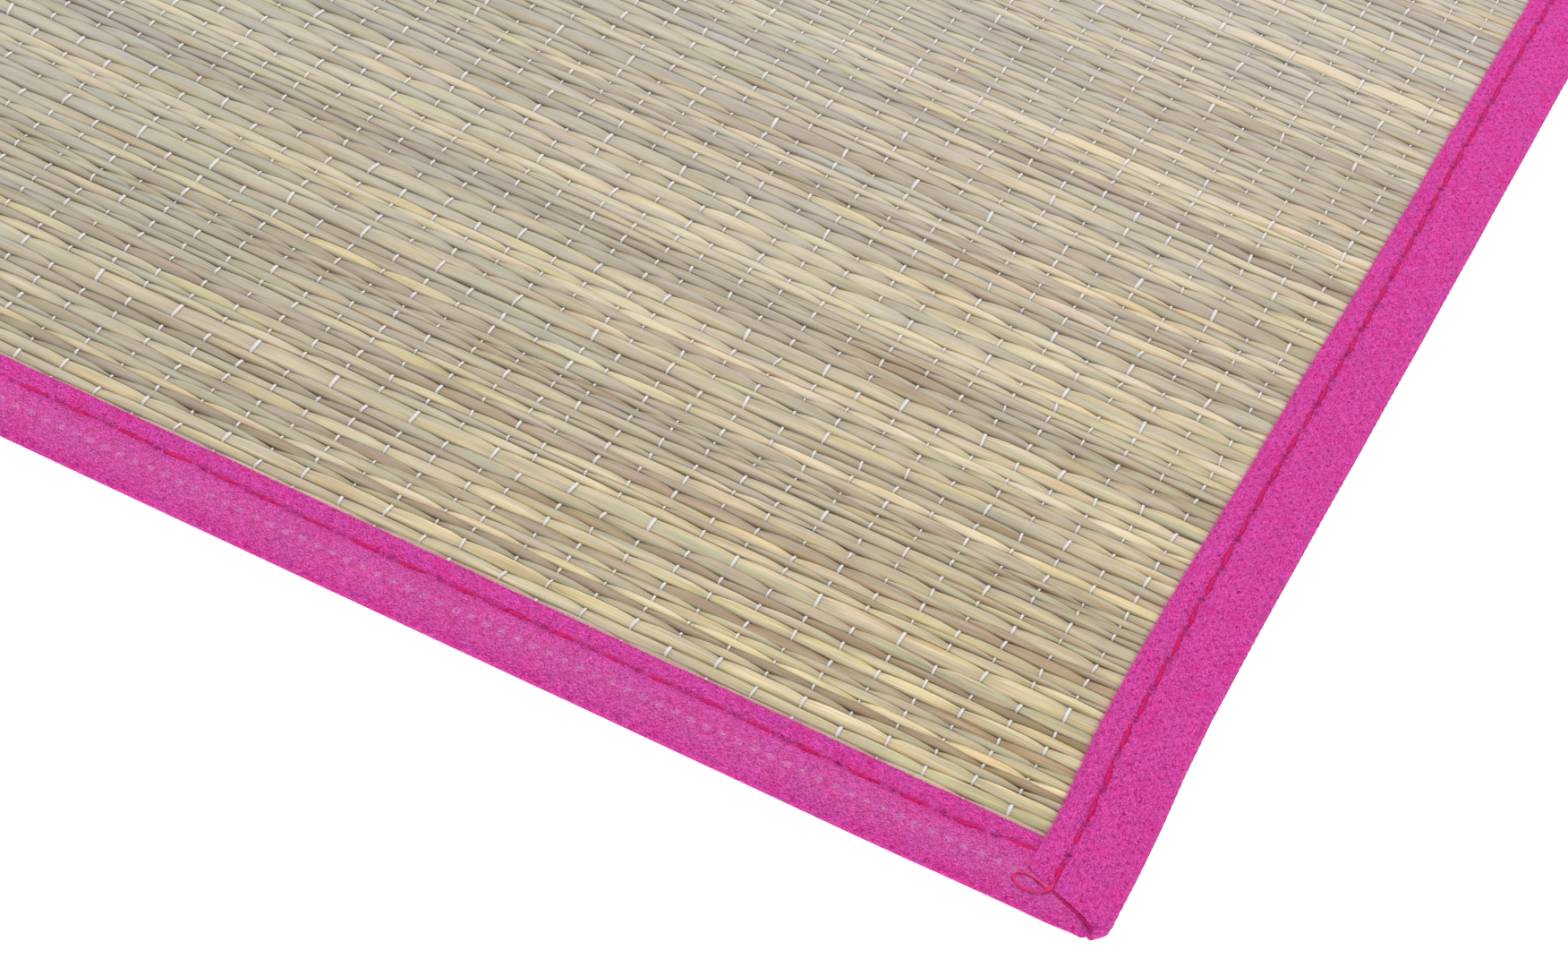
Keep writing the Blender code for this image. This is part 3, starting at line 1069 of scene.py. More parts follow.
@dataclass
class StrawBand:
    """A run of neighbouring straws, from one row to another, made as one piece.

    A section's points hold the share of the half width, the share of the height, and how much painted shade
    they get.
    """

    name: str
    weave: Weave
    first: int
    last: int
    detail: Detail
    fine_left: float = -80 * MM
    top: float = 3.5 * MM
    base: float = 1.3 * MM
    pressed_base: float = 2.6 * MM
    pressed_from: float = 32 * MM
    pressed_over: float = 6 * MM
    press: float = 0.55 * MM
    side_depth: float = 0.42 * MM
    tight_depth: float = 0.10 * MM
    wide_depth: float = 0.24 * MM
    thinnest: float = 0.3 * MM
    reach: float = 2.3
    closed: float = 0.4
    lane: float = 9 * MM
    # The painted crease shade: how much a straw's pinch adds, and how much there is everywhere.
    pinched_shade: float = 0.8
    open_shade: float = 0.12
    section: tuple[tuple[float, float, float], ...] = (
        (-0.95, 0.35, 0.9),
        (-0.75, 1.0, 0.12),
        (0.75, 1.0, 0.12),
        (0.95, 0.35, 0.9),
        (0.97, -1.0, 0.8),
        (-0.97, -1.0, 0.8),
    )
    plain_section: tuple[tuple[float, float, float], ...] = (
        (-0.86, 0.9, 0.1),
        (0.86, 0.9, 0.1),
        (0.97, -1.0, 0.8),
        (-0.97, -1.0, 0.8),
    )

    def build(self, finish: Material) -> Piece:
        """Weaves the band.

        Args:
            finish: The rush's material.

        Returns:
            The band as one piece.
        """
        points, edges, values = self._axes()
        guide = guide_mesh(self.name + "_axes", points, edges, values)
        shape = np.array(self.plain_section if self.detail is Detail.PLAIN else self.section)
        number = np.arange(len(shape))
        ring = guide_mesh(
            self.name + "_section",
            shape * (1.0, 1.0, 0.0),
            np.stack([number, (number + 1) % len(shape)], 1),
            dict(zip(("across", "level", "shade"), shape.T)),
        )
        piece = grown(self.name, guide, self._tree(), {"Section": ring, "Finish": finish})
        bpy.data.objects.remove(ring, do_unlink=True)
        bake_map(piece)
        return piece

    def _places(self, parity: int) -> np.ndarray:
        """Places along a straw, counted in threads, that get a ring of points.

        Args:
            parity: 0 if the straw is drawn in at the first thread, otherwise 1.

        Returns:
            The places in order.
        """
        count = len(self.weave.thread_x)
        places = [0.0, count - 1.0]
        for cell in range(count - 1):
            fine = self.weave.thread_x[cell + 1] > self.fine_left and cell >= self.weave.hidden_threads - 1
            steps = self.detail.value if fine else Detail.PLAIN.value
            from_left = (cell + parity) % 2 == 0
            places += [cell + step if from_left else cell + 1 - step for step in steps]
        return np.unique(np.round(places, 4))

    def _rings(self) -> tuple[np.ndarray, ...]:
        """Lists the rings of points of all the band's straws.

        Returns:
            For each ring, its straw's row, its place counted in threads, how far it is from its lens's
            drawn-in end, and the threads at that end and at the lens's widest. Last, the pairs of
            neighbouring rings.
        """
        weave = self.weave
        sets, edges, count = [], [], 0
        for row in range(self.first, self.last):
            s = self._places(0 if weave.faces["top"][2][row, 0] else 1)
            cell = np.minimum(s.astype(int), len(weave.thread_x) - 2)
            across = s - cell
            left = weave.faces["top"][2][row, cell]
            drawn = np.where(left, cell, cell + 1)
            wide = np.where(left, cell + 1, cell)
            sets.append((np.full(len(s), row), s, np.where(left, across, 1 - across), drawn, wide))
            edges.append(np.stack([np.arange(len(s) - 1), np.arange(1, len(s))], 1) + count)
            count += len(s)
        return *(np.concatenate(column) for column in zip(*sets)), np.concatenate(edges)

    def _axes(self) -> tuple[np.ndarray, np.ndarray, dict[str, np.ndarray]]:
        """The line of points through each straw, with the sizes that the sweep reads.

        Returns:
            The points, the edges that join them, and the named values.
        """
        weave = self.weave
        row, s, t, drawn, wide, edges = self._rings()
        x = np.interp(s, np.arange(len(weave.thread_x)), weave.thread_x)
        swell, back = 1 - (1 - t) ** self.reach, 1 - t ** self.reach
        sides = {}
        for face, tight, loose, amount in (("top", drawn, wide, swell), ("base", wide, drawn, back)):
            down, up, _ = weave.faces[face]
            low = down[row, tight] + (down[row, loose] - down[row, tight]) * amount
            high = up[row, tight] + (up[row, loose] - up[row, tight]) * amount
            sides[face] = ((low + high) / 2, (high - low) / 2)
        sides["base"] = tuple(
            own + (above - own) * self.closed for own, above in zip(sides["base"], sides["top"])
        )
        softness = 1.4 - weave.kept[row]
        y = sides["top"][0]
        cell = np.minimum(s.astype(int), len(weave.thread_x) - 2)
        tilt = weave.tilts[row, cell] * (1 - s + cell) + weave.tilts[row, cell + 1] * (s - cell)
        from_edge = weave.half_length - np.abs(y)
        pressed = ease((self.pressed_from - from_edge) / self.pressed_over)
        base = self.base + (self.pressed_base - self.base) * pressed
        crest = self.top - weave.sunk[row] - np.abs(tilt) - self.press * softness * (1 - swell)
        low = base + 0.4 * self.press * (1 - pressed) * swell
        depth = self.side_depth + self.tight_depth * (1 - t) ** 2 + self.wide_depth * t ** 4
        values = {
            "along": x,
            "mid_top": sides["top"][0],
            "half_top": sides["top"][1],
            "mid_base": sides["base"][0],
            "half_base": sides["base"][1],
            "side": np.maximum(low + self.thinnest, crest - depth),
            "crest": crest,
            "base": low,
            "tone": weave.tones[row] + weave.drifts[row] * x / weave.high.x,
            "stain": weave.stains[row],
            "row": row.astype(float),
            "nominal": (weave.edges[row + 1] - weave.edges[row]) / 2,
            # pinch: how much painted crease shade a ring gets; most at the lens's drawn-in end.
            "pinch": (1 - t) ** 2 * softness + 0.4 * t ** 6,
            # gathered: how far a straw is gathered in at a stitch, which brings on painted shade in its
            # folds.
            "gathered": (1 - t) ** 1.5 * softness,
            "tilt": tilt,
        }
        return np.stack([x, y, crest], 1), edges, values

    def _tree(self) -> Tree:
        """The node tree that sweeps a section along each straw and sets its width and height.

        Returns:
            The tree.
        """
        kinds = {"Axes": "NodeSocketGeometry", "Section": "NodeSocketObject", "Finish": "NodeSocketMaterial"}
        tree = new_tree("Straws", kinds)
        given = add_node(tree, "NodeGroupInput")
        axes = add_node(tree, "GeometryNodeMeshToCurve", {"Mesh": given.outputs["Axes"]})
        info = add_node(tree, "GeometryNodeObjectInfo", {"Object": given.outputs["Section"]})
        ring = add_node(tree, "GeometryNodeMeshToCurve", {"Mesh": info.outputs["Geometry"]})
        swept = add_node(
            tree, "GeometryNodeCurveToMesh",
            {"Curve": axes.outputs[0], "Profile Curve": ring.outputs[0], "Fill Caps": True},
        )
        names = (
            "across", "level", "shade", "along", "mid_top", "half_top", "mid_base", "half_base",
            "side", "crest", "base", "row", "nominal", "pinch", "tilt",
        )
        value = {
            name: add_node(
                tree, "GeometryNodeInputNamedAttribute", {"Name": name}, data_type="FLOAT"
            ).outputs["Attribute"]
            for name in names
        }
        across, level, side = value["across"], value["level"], value["side"]
        sums = {}
        for name, operation, parts in (
            ("beneath", "LESS_THAN", (level, 0.0)),
            ("y_top", "MULTIPLY_ADD", (across, value["half_top"], value["mid_top"])),
            ("y_base", "MULTIPLY_ADD", (across, value["half_base"], value["mid_base"])),
            ("rise", "SUBTRACT", (value["crest"], side)),
            ("drop", "SUBTRACT", (side, value["base"])),
            ("tilted", "MULTIPLY_ADD", (across, value["tilt"], side)),
            ("z_top", "MULTIPLY_ADD", ("rise", level, "tilted")),
            ("z_base", "MULTIPLY_ADD", ("drop", level, side)),
            ("own", "MULTIPLY", (across, value["nominal"])),
            ("lane", "MULTIPLY_ADD", (value["row"], self.lane, "own")),
            ("layer", "MULTIPLY", ("beneath", 0.5)),
            # The painted shade in the creases: strongest where a straw is drawn in, mostly on its rims and
            # underside.
            ("deep", "MULTIPLY_ADD", (value["pinch"], self.pinched_shade, self.open_shade)),
            ("crease", "MULTIPLY", (value["shade"], "deep")),
        ):
            terms = tuple(sums[part] if isinstance(part, str) else part for part in parts)
            sums[name] = add_node(tree, "ShaderNodeMath", terms, operation=operation).outputs[0]
        y, z = (
            add_node(
                tree, "GeometryNodeSwitch",
                {"Switch": sums["beneath"], "False": sums[axis + "_top"], "True": sums[axis + "_base"]},
                input_type="FLOAT",
            ).outputs[0]
            for axis in "yz"
        )
        place = add_node(tree, "ShaderNodeCombineXYZ", (value["along"], y, z))
        placed = add_node(
            tree, "GeometryNodeSetPosition", {"Geometry": swept.outputs[0], "Position": place.outputs[0]}
        )
        fibre = add_node(tree, "ShaderNodeCombineXYZ", (value["along"], sums["lane"], sums["layer"]))
        kept = add_node(
            tree, "GeometryNodeStoreNamedAttribute",
            {"Geometry": placed.outputs[0], "Name": "fibre", "Value": fibre.outputs[0]},
            data_type="FLOAT_VECTOR", domain="POINT",
        )
        # Keeps the painted crease shade for the rush's material.
        crease_shading = add_node(
            tree, "GeometryNodeStoreNamedAttribute",
            {"Geometry": kept.outputs[0], "Name": "crease", "Value": sums["crease"]},
            data_type="FLOAT", domain="POINT",
        )
        end_tree(tree, crease_shading.outputs[0], given.outputs["Finish"])
        return tree


@dataclass
class WarpStitches:
    """The stitches of white warp thread that show on one face of a band of straws."""

    name: str
    band: StrawBand
    face: str
    width: float = 0.60 * MM
    height: float = 0.34 * MM
    overlap: float = 0.5 * MM

    def build(self, finish: Material) -> Piece:
        """Lays one short arch of thread over each straw that this face's stitches cross.

        Args:
            finish: The thread's material.

        Returns:
            The stitches as one piece.
        """
        band, weave = self.band, self.band.weave
        down, up, drawn = weave.faces[self.face]
        rows, columns = np.nonzero(drawn[band.first:band.last])
        rows = rows + band.first
        real = (columns >= weave.hidden_threads) & (columns < weave.hidden_threads + weave.threads)
        rows, columns = rows[real], columns[real]
        x, low, high = weave.thread_x[columns], down[rows, columns], up[rows, columns]
        draw = np.random.default_rng(weave.seed + band.first + 1)
        softness = 1.4 - weave.kept[rows]
        over = self.face == "top"
        sunk = weave.sunk[rows] + np.abs(weave.tilts[rows, columns])
        count = len(x)
        z = band.top - sunk - band.press * softness if over else np.full(count, band.base + 0.3 * band.press)
        flip = np.full(count, 0.0 if over else math.pi)
        length = high - low + self.overlap
        points = np.stack([x, (low + high) / 2, z], 1)
        turn = np.stack([0 * x, flip, draw.normal(0, 0.07, count)], 1)
        width = self.width * draw.normal(1, 0.1, count) * (0.85 + 0.13 * length / MM)
        size = np.stack([width, length, np.full(count, self.height)], 1)
        piece = scattered(self.name, points, turn, size, self._stitch(), finish)
        bake_map(piece)
        return piece

    def _stitch(self) -> Piece:
        """One stitch of unit size: an arch whose ends go down between the straws.

        Returns:
            The stitch.
        """
        if self.face == "top" and self.band.detail is not Detail.PLAIN:
            path = ((-0.5, -1.8), (-0.38, 0.55), (0.0, 0.85), (0.38, 0.55), (0.5, -1.8))
            return rod("stitch_shape", path, (0.5, 1.0, 1.05, 1.0, 0.5), 4)
        return rod("stitch_shape", ((-0.5, -1.2), (0.0, 1.0), (0.5, -1.2)), (0.0, 1.2, 0.0), 3)


class Corner(Enum):
    """The mat's four corners, by the signs of X and Y, with how far its long tape flares out there."""

    NEAR_RIGHT = (1, -1, 1.0)
    FAR_RIGHT = (1, 1, 0.5)
    NEAR_LEFT = (-1, -1, 0.45)
    FAR_LEFT = (-1, 1, 1.0)

    @classmethod
    def flare(cls, side: int, end: int) -> float:
        """The share of the full flare at a corner, by the signs of its X and Y."""
        return next(corner.value[2] for corner in cls if corner.value[:2] == (side, end))


def wander(along: np.ndarray, phase: float) -> np.ndarray:
    """How far a sewn edge strays inwards at a place along it.

    Args:
        along: The place.
        phase: Sets where the waves start.

    Returns:
        The distance.
    """
    first = 1 - np.cos(along / (95 * MM) + phase)
    second = 1 - np.cos(along / (41 * MM) + 2.3 * phase)
    return EDGE_WANDER * (0.35 * first + 0.15 * second)


@dataclass(frozen=True)
class Cut:
    """How a long tape's end is folded and cut, at one distance from the mat's short edge."""

    along: float
    flare: float
    upper: float
    lower: float
    full: float


@dataclass
class Tape:
    """A felt tape folded round one edge of the mat, from its lower free edge to its upper one."""

    name: str
    side: int
    length: float = 0.0
    flat_width: float = 50 * MM
    thickness: float = 0.62 * MM
    fold_depth: float = 2.2 * MM
    seam_depth: float = 0.30 * MM
    seam_width: float = 0.95 * MM
    stitch_pitch: float = 13.0 * MM
    first_hole: float = 11.0 * MM
    hole_size: float = 0.75 * MM
    # hole_shade: the strength of the painted shadow round each needle hole.
    hole_shade: float = 0.8
    edge_bend: float = 0.16 * MM
    bend_reach: float = 0.9 * MM
    puff: float = 0.22 * MM
    fold_turns: int = 5
    fold_drop: float = 0.7 * MM
    fed: float = 0.0
    outward: int = 1
    lower_rows: tuple[float, ...] = (1.0, 0.6, 0.2)
    outer_rows: tuple[float, ...] = (0.12, 0.30, 0.52, 0.76)
    near_seam: tuple[float, ...] = (-2.2, -1.1, -0.5, 0.0, 0.5, 1.1, 2.2)
    near_cut: tuple[float, ...] = (1.6, 0.4, 0.0)

    def stations(self) -> np.ndarray:
        """Places along the edge that get a row of points, closer together where they are seen near by."""
        raise NotImplementedError

    def edge(self, along: np.ndarray) -> np.ndarray:
        """Distance of the folded outer edge from the mat's middle line."""
        raise NotImplementedError

    def widths(self, along: np.ndarray) -> tuple[np.ndarray, np.ndarray]:
        """Widths of the upper and the lower layer."""
        raise NotImplementedError

    def levels(self, along: np.ndarray) -> tuple[np.ndarray, np.ndarray]:
        """Heights of the tape's underside and of its upper side."""
        raise NotImplementedError

    def seam(self, along: np.ndarray) -> np.ndarray:
        """Distance of the seam from the outer edge."""
        raise NotImplementedError

    def place(self, along: np.ndarray, inwards: np.ndarray, z: np.ndarray) -> np.ndarray:
        """Points in the mat's frame, from places along the edge and distances inwards from the outer edge."""
        raise NotImplementedError

    def inner_heading(self) -> float:
        """The turn about Z that points from the outer edge inwards, counted from Y."""
        raise NotImplementedError

    def seen_close(self) -> bool:
        """True if the picture shows this edge, where its points lie close together."""
        raise NotImplementedError

    def edge_fall(self, along: np.ndarray) -> np.ndarray:
        """How far the upper layer's free edge bends down."""
        return self.edge_bend + 0 * along

    def full(self, along: np.ndarray) -> np.ndarray:
        """1 where the tape has its full height, and less where its end comes down to the floor."""
        return 1.0 + 0 * along

    def holes(self) -> np.ndarray:
        """Places along the edge where the needle went through.

        Returns:
            The places in order.
        """
        low, high = self.stations()[[0, -1]]
        count = int((high - low - 2 * self.first_hole) // self.stitch_pitch)
        middle = (low + high) / 2
        evenly = (np.arange(count + 1) - count / 2) * self.stitch_pitch + middle
        return evenly + 0.7 * MM * np.sin(evenly / (17 * MM) + self.side)

    def height(self, along: np.ndarray, inwards: np.ndarray) -> np.ndarray:
        """Z of the upper side, with its seam drawn in and its soft unevenness.

        Args:
            along: The place along the edge.
            inwards: The distance from the outer edge.

        Returns:
            Z.
        """
        seam = self.seam(along)
        between = np.clip(inwards / seam, 0, 1)
        off = (inwards - seam) / self.seam_width
        nearest = np.abs(np.asarray(along)[..., None] - self.holes()).min(-1)
        pull = 0.72 + 0.55 * np.exp(-((nearest / (1.2 * MM)) ** 2))
        groove = self.seam_depth * pull * (0.7 * np.exp(-off ** 2) + 0.3 * np.exp(-((off / 2.6) ** 2)))
        swell = self.puff * np.sin(math.pi * between) ** 0.8
        x, y = along / MM, inwards / MM
        soft = 0.05 * np.sin(x / 5.3 + y / 7.1) + 0.05 * np.sin(x / 3.4 - y / 4.2 + 1.0)
        soft = soft + 0.04 * np.sin(x / 11 + 2)
        grain = 0.025 * np.sin(x / 0.9 + 1.7 * np.sin(y / 1.3)) * np.sin(y / 1.1 + np.sin(x / 1.7))
        drop = self.fold_drop * np.exp(-((inwards / (3.6 * MM)) ** 2))
        return self.levels(along)[1] + swell - groove - drop * self.full(along) + (soft + grain) * MM

    def _section(self, along: np.ndarray) -> tuple[np.ndarray, np.ndarray]:
        """The folded line across the tape at each station, from its lower free edge to its upper one.

        Args:
            along: The stations, as a column.

        Returns:
            Distances inwards from the outer edge, and heights, with a row for each station.
        """
        upper, lower = self.widths(along)
        base = self.levels(along)[0]
        seam = self.seam(along)
        depth = np.minimum(self.fold_depth, upper * 0.7)
        inwards = [depth + (lower - depth) * share for share in self.lower_rows]
        heights = [base for _ in self.lower_rows]
        crown = self.height(along, depth)
        for step in range(self.fold_turns + 1):
            turn = math.pi * step / self.fold_turns
            inwards.append(depth * (1 - math.sin(turn)))
            heights.append((base + crown) / 2 - (crown - base) / 2 * math.cos(turn))
        usual = self.widths(np.array([0.0]))[0]
        across = [depth + (seam - depth) * mark for mark in self.outer_rows]
        across += [seam + gap * MM for gap in self.near_seam]
        across += [usual - back * MM + 0 * seam for back in self.near_cut]
        for step in across:
            place = depth + (step - depth) * (upper - depth) / (usual - depth)
            inwards.append(place)
            fall = self.edge_fall(along) * np.exp(-((upper - place) / self.bend_reach) ** 2)
            heights.append(self.height(along, place) - fall)
        shape = along.shape
        return tuple(
            np.concatenate([np.broadcast_to(column, shape) for column in columns], 1)
            for columns in (inwards, heights)
        )

    def build(self, finish: Material) -> Piece:
        """Makes the tape as one folded sheet.

        Args:
            finish: The felt's material.

        Returns:
            The tape.
        """
        along = self.stations()[:, None]
        inwards, heights = self._section(along)
        rows, columns = inwards.shape
        points = self.place(np.broadcast_to(along, inwards.shape), inwards, heights).reshape(-1, 3)
        number = np.arange(rows * columns).reshape(rows, columns)
        corners = (number[:-1, :-1], number[:-1, 1:], number[1:, 1:], number[1:, :-1])
        quads = np.stack(corners, -1).reshape(-1, 4)
        quads = quads if self.side == self.outward else quads[:, ::-1]
        mesh = bpy.data.meshes.new(self.name)
        mesh.from_pydata(points.tolist(), [], quads.tolist())
        steps = np.hypot(np.diff(inwards, axis=1), np.diff(heights, axis=1))
        across = np.concatenate([0 * along, np.cumsum(steps, axis=1)], 1)
        fold = len(self.lower_rows) + self.fold_turns // 2
        across = across - across[:, fold:fold + 1]
        tape = np.stack([np.broadcast_to(along, across.shape), across, 0 * across + self.fed], -1)
        # needle: painted shadow in the upper layer round each needle hole.
        nearest = np.abs(along - self.holes()).min(-1)[:, None]
        off = np.hypot(nearest, inwards - self.seam(along)) / self.hole_size
        needle = np.where(np.arange(columns) > fold, self.hole_shade * np.exp(-off ** 2), 0.0)
        keep_values(mesh, {"tape": tape.reshape(-1, 3), "needle": needle.ravel()})
        sheet = new_object(self.name + "_felt", mesh)
        wall = sheet.modifiers.new("Thickness", "SOLIDIFY")
        wall.thickness = self.thickness
        wall.offset = -1
        wall.use_quality_normals = True
        piece = plain_copy(self.name + "_felt", sheet)
        piece.data.shade_smooth()
        piece.data.set_sharp_from_angle(angle=math.radians(50))
        piece.data.materials.clear()
        piece.data.materials.append(finish)
        return piece


@dataclass
class LongTape(Tape):
    """The tape round a long edge. side is the sign of X. Its ends lie over those of the short tapes."""

    length: float = 1.797
    outward: int = -1
    edge_line: float = 297.1 * MM
    corner_flare: float = 3.4 * MM
    half_length: float = 900 * MM
    corner_rise: float = 0.74 * MM
    top: float = 4.22 * MM
    seen_to: float = -440 * MM
    close_step: float = 0.5 * MM
    corner_step: float = 1.2 * MM
    seen_step: float = 1.03 * MM
    plain_step: float = 10 * MM
    cuts: tuple[Cut, ...] = (
        Cut(5.0 * MM, 0.16, 0.8 * MM, 1.0 * MM, 0.50),
        Cut(5.7 * MM, 0.55, 2.6 * MM, 3.0 * MM, 0.62),
        Cut(6.6 * MM, 0.81, 5.8 * MM, 6.0 * MM, 0.75),
        Cut(7.9 * MM, 0.97, 9.9 * MM, 10.0 * MM, 0.90),
        Cut(9.5 * MM, 1.00, 14.1 * MM, 15.0 * MM, 0.97),
        Cut(11.0 * MM, 1.00, 17.6 * MM, 19.5 * MM, 1.0),
        Cut(13.5 * MM, 0.97, 23.2 * MM, 22.0 * MM, 1.0),
        Cut(26.5 * MM, 0.90, 22.8 * MM, 22.4 * MM, 1.0),
        Cut(34.0 * MM, 0.82, 22.7 * MM, 22.4 * MM, 1.0),
        Cut(48.0 * MM, 0.66, 23.1 * MM, 22.3 * MM, 1.0),
        Cut(66.0 * MM, 0.34, 23.3 * MM, 22.0 * MM, 1.0),
        Cut(88.0 * MM, 0.08, 23.1 * MM, 21.8 * MM, 1.0),
        Cut(140.0 * MM, 0.0, 23.0 * MM, 21.7 * MM, 1.0),
        Cut(182.0 * MM, 0.0, 22.4 * MM, 21.7 * MM, 1.0),
        Cut(226.0 * MM, 0.0, 22.4 * MM, 21.7 * MM, 1.0),
        Cut(274.0 * MM, 0.0, 21.7 * MM, 21.7 * MM, 1.0),
        Cut(440.0 * MM, 0.0, 21.5 * MM, 21.7 * MM, 1.0),
    )
    end_holes: tuple[float, ...] = (11.0 * MM, 22.3 * MM, 34.4 * MM, 47.5 * MM, 61.0 * MM)
    seam_places: tuple[tuple[float, float], ...] = (
        (11.0 * MM, 12.8 * MM),
        (34.0 * MM, 13.6 * MM),
        (47.0 * MM, 14.2 * MM),
        (61.0 * MM, 15.4 * MM),
        (80.0 * MM, 16.0 * MM),
    )

    def stations(self) -> np.ndarray:
        """Rows of points, close together at the corners and along the part seen near by.

        Returns:
            The places in order.
        """
        end = self.half_length - self.cuts[0].along
        tip = end - 16 * MM
        corner = self.half_length - 40 * MM
        near = np.concatenate(
            [np.arange(-end, -tip, self.close_step), np.arange(-tip, -corner, self.corner_step)]
        )
        close = self.seen_close()
        near = near if close else near[::3]
        seen = np.arange(-corner, self.seen_to, self.seen_step if close else self.plain_step)
        rest = np.arange(self.seen_to, corner, self.plain_step)
        far = -near[::-3] if close else -near[::-1]
        return np.concatenate([near, seen, rest, far])

    def _from_end(self, along: np.ndarray) -> tuple[np.ndarray, np.ndarray]:
        """Distance from the nearer short edge, and the share of the flare at that end."""
        share = np.where(along < 0, Corner.flare(self.side, -1), Corner.flare(self.side, 1))
        return self.half_length - np.abs(along), share

    def _cut(self, along: np.ndarray, size: str) -> np.ndarray:
        """One of the sizes in the table of cuts.

        Args:
            along: The place along the edge.
            size: The size's name.

        Returns:
            The size at that place.
        """
        distance, _ = self._from_end(along)
        places, sizes = zip(*((cut.along, getattr(cut, size)) for cut in self.cuts))
        return np.interp(distance, places, sizes)

    def edge(self, along: np.ndarray) -> np.ndarray:
        """The outer edge: a line that wanders, pushed out a little by each straw's end, and its flares.

        Args:
            along: The place along the edge.

        Returns:
            Its distance from the mat's middle line.
        """
        distance, share = self._from_end(along)
        inner = ease((distance - 80 * MM) / (40 * MM))
        beads = 0.1 * MM * (1 + np.sin(along / (0.52 * MM))) * (0.6 + 0.4 * np.sin(along / (9 * MM)))
        flare = self.corner_flare * self._cut(along, "flare") * share
        strayed = inner * wander(along, 1.1 * self.side)
        return self.edge_line + flare - strayed - beads * ease((distance - 4 * MM) / (4 * MM))

    def widths(self, along: np.ndarray) -> tuple[np.ndarray, np.ndarray]:
        """Widths of the two layers. The upper one's end is turned in on a slant.

        Args:
            along: The place along the edge.

        Returns:
            The upper and the lower layer's width.
        """
        distance, _ = self._from_end(along)
        inner = ease((distance - 80 * MM) / (40 * MM))
        strayed = wander(along, 2.0 + self.side) - wander(along, 1.1 * self.side)
        return self._cut(along, "upper") + inner * strayed, self._cut(along, "lower")

    def levels(self, along: np.ndarray) -> tuple[np.ndarray, np.ndarray]:
        """The tape lies on the floor, and climbs over the short tape at the corner.

        Args:
            along: The place along the edge.

        Returns:
            Heights of its underside and of its upper side.
        """
        distance, _ = self._from_end(along)
        rise = self.corner_rise * ease((31 * MM - distance) / (7 * MM))
        curl = (self.top + rise - 1.3 * MM) * (1 - self.full(along))
        return 0.0 * distance, self.top + rise - curl

    def full(self, along: np.ndarray) -> np.ndarray:
        """The tape's end comes down over the fold of the short tape."""
        return self._cut(along, "full")

    def holes(self) -> np.ndarray:
        """The needle holes, closer together where the seam starts and ends.

        Returns:
            The places in order.
        """
        start = -self.half_length + np.array(self.end_holes)
        count = round(-2 * start[-1] / self.stitch_pitch)
        evenly = np.linspace(start[-1], -start[-1], count + 1)[1:-1]
        return np.concatenate([start, evenly + 0.5 * MM * np.sin(evenly / (17 * MM)), -start[::-1]])

    def edge_fall(self, along: np.ndarray) -> np.ndarray:
        """The tip's free edge comes down to the lower layer."""
        distance, _ = self._from_end(along)
        return (0.16 + 2.6 * ease((6.3 * MM - distance) / (1.3 * MM))) * MM

    def seam(self, along: np.ndarray) -> np.ndarray:
        """The seam comes closer to the outer edge towards the corner.

        Args:
            along: The place along the edge.

        Returns:
            The seam's distance from the outer edge.
        """
        distance, share = self._from_end(along)
        line = np.interp(distance, *zip(*self.seam_places))
        flare = self.corner_flare * self._cut(along, "flare") * share
        return line + flare + 0.25 * MM * np.sin(along / (31 * MM))

    def place(self, along: np.ndarray, inwards: np.ndarray, z: np.ndarray) -> np.ndarray:
        """Points in the mat's frame."""
        return np.stack([self.side * (self.edge(along) - inwards), along, z], -1)

    def inner_heading(self) -> float:
        """The left turn that points inwards on the right edge, or the right turn on the left one."""
        return self.side * math.pi / 2

    def seen_close(self) -> bool:
        """The picture shows the right edge."""
        return self.side > 0


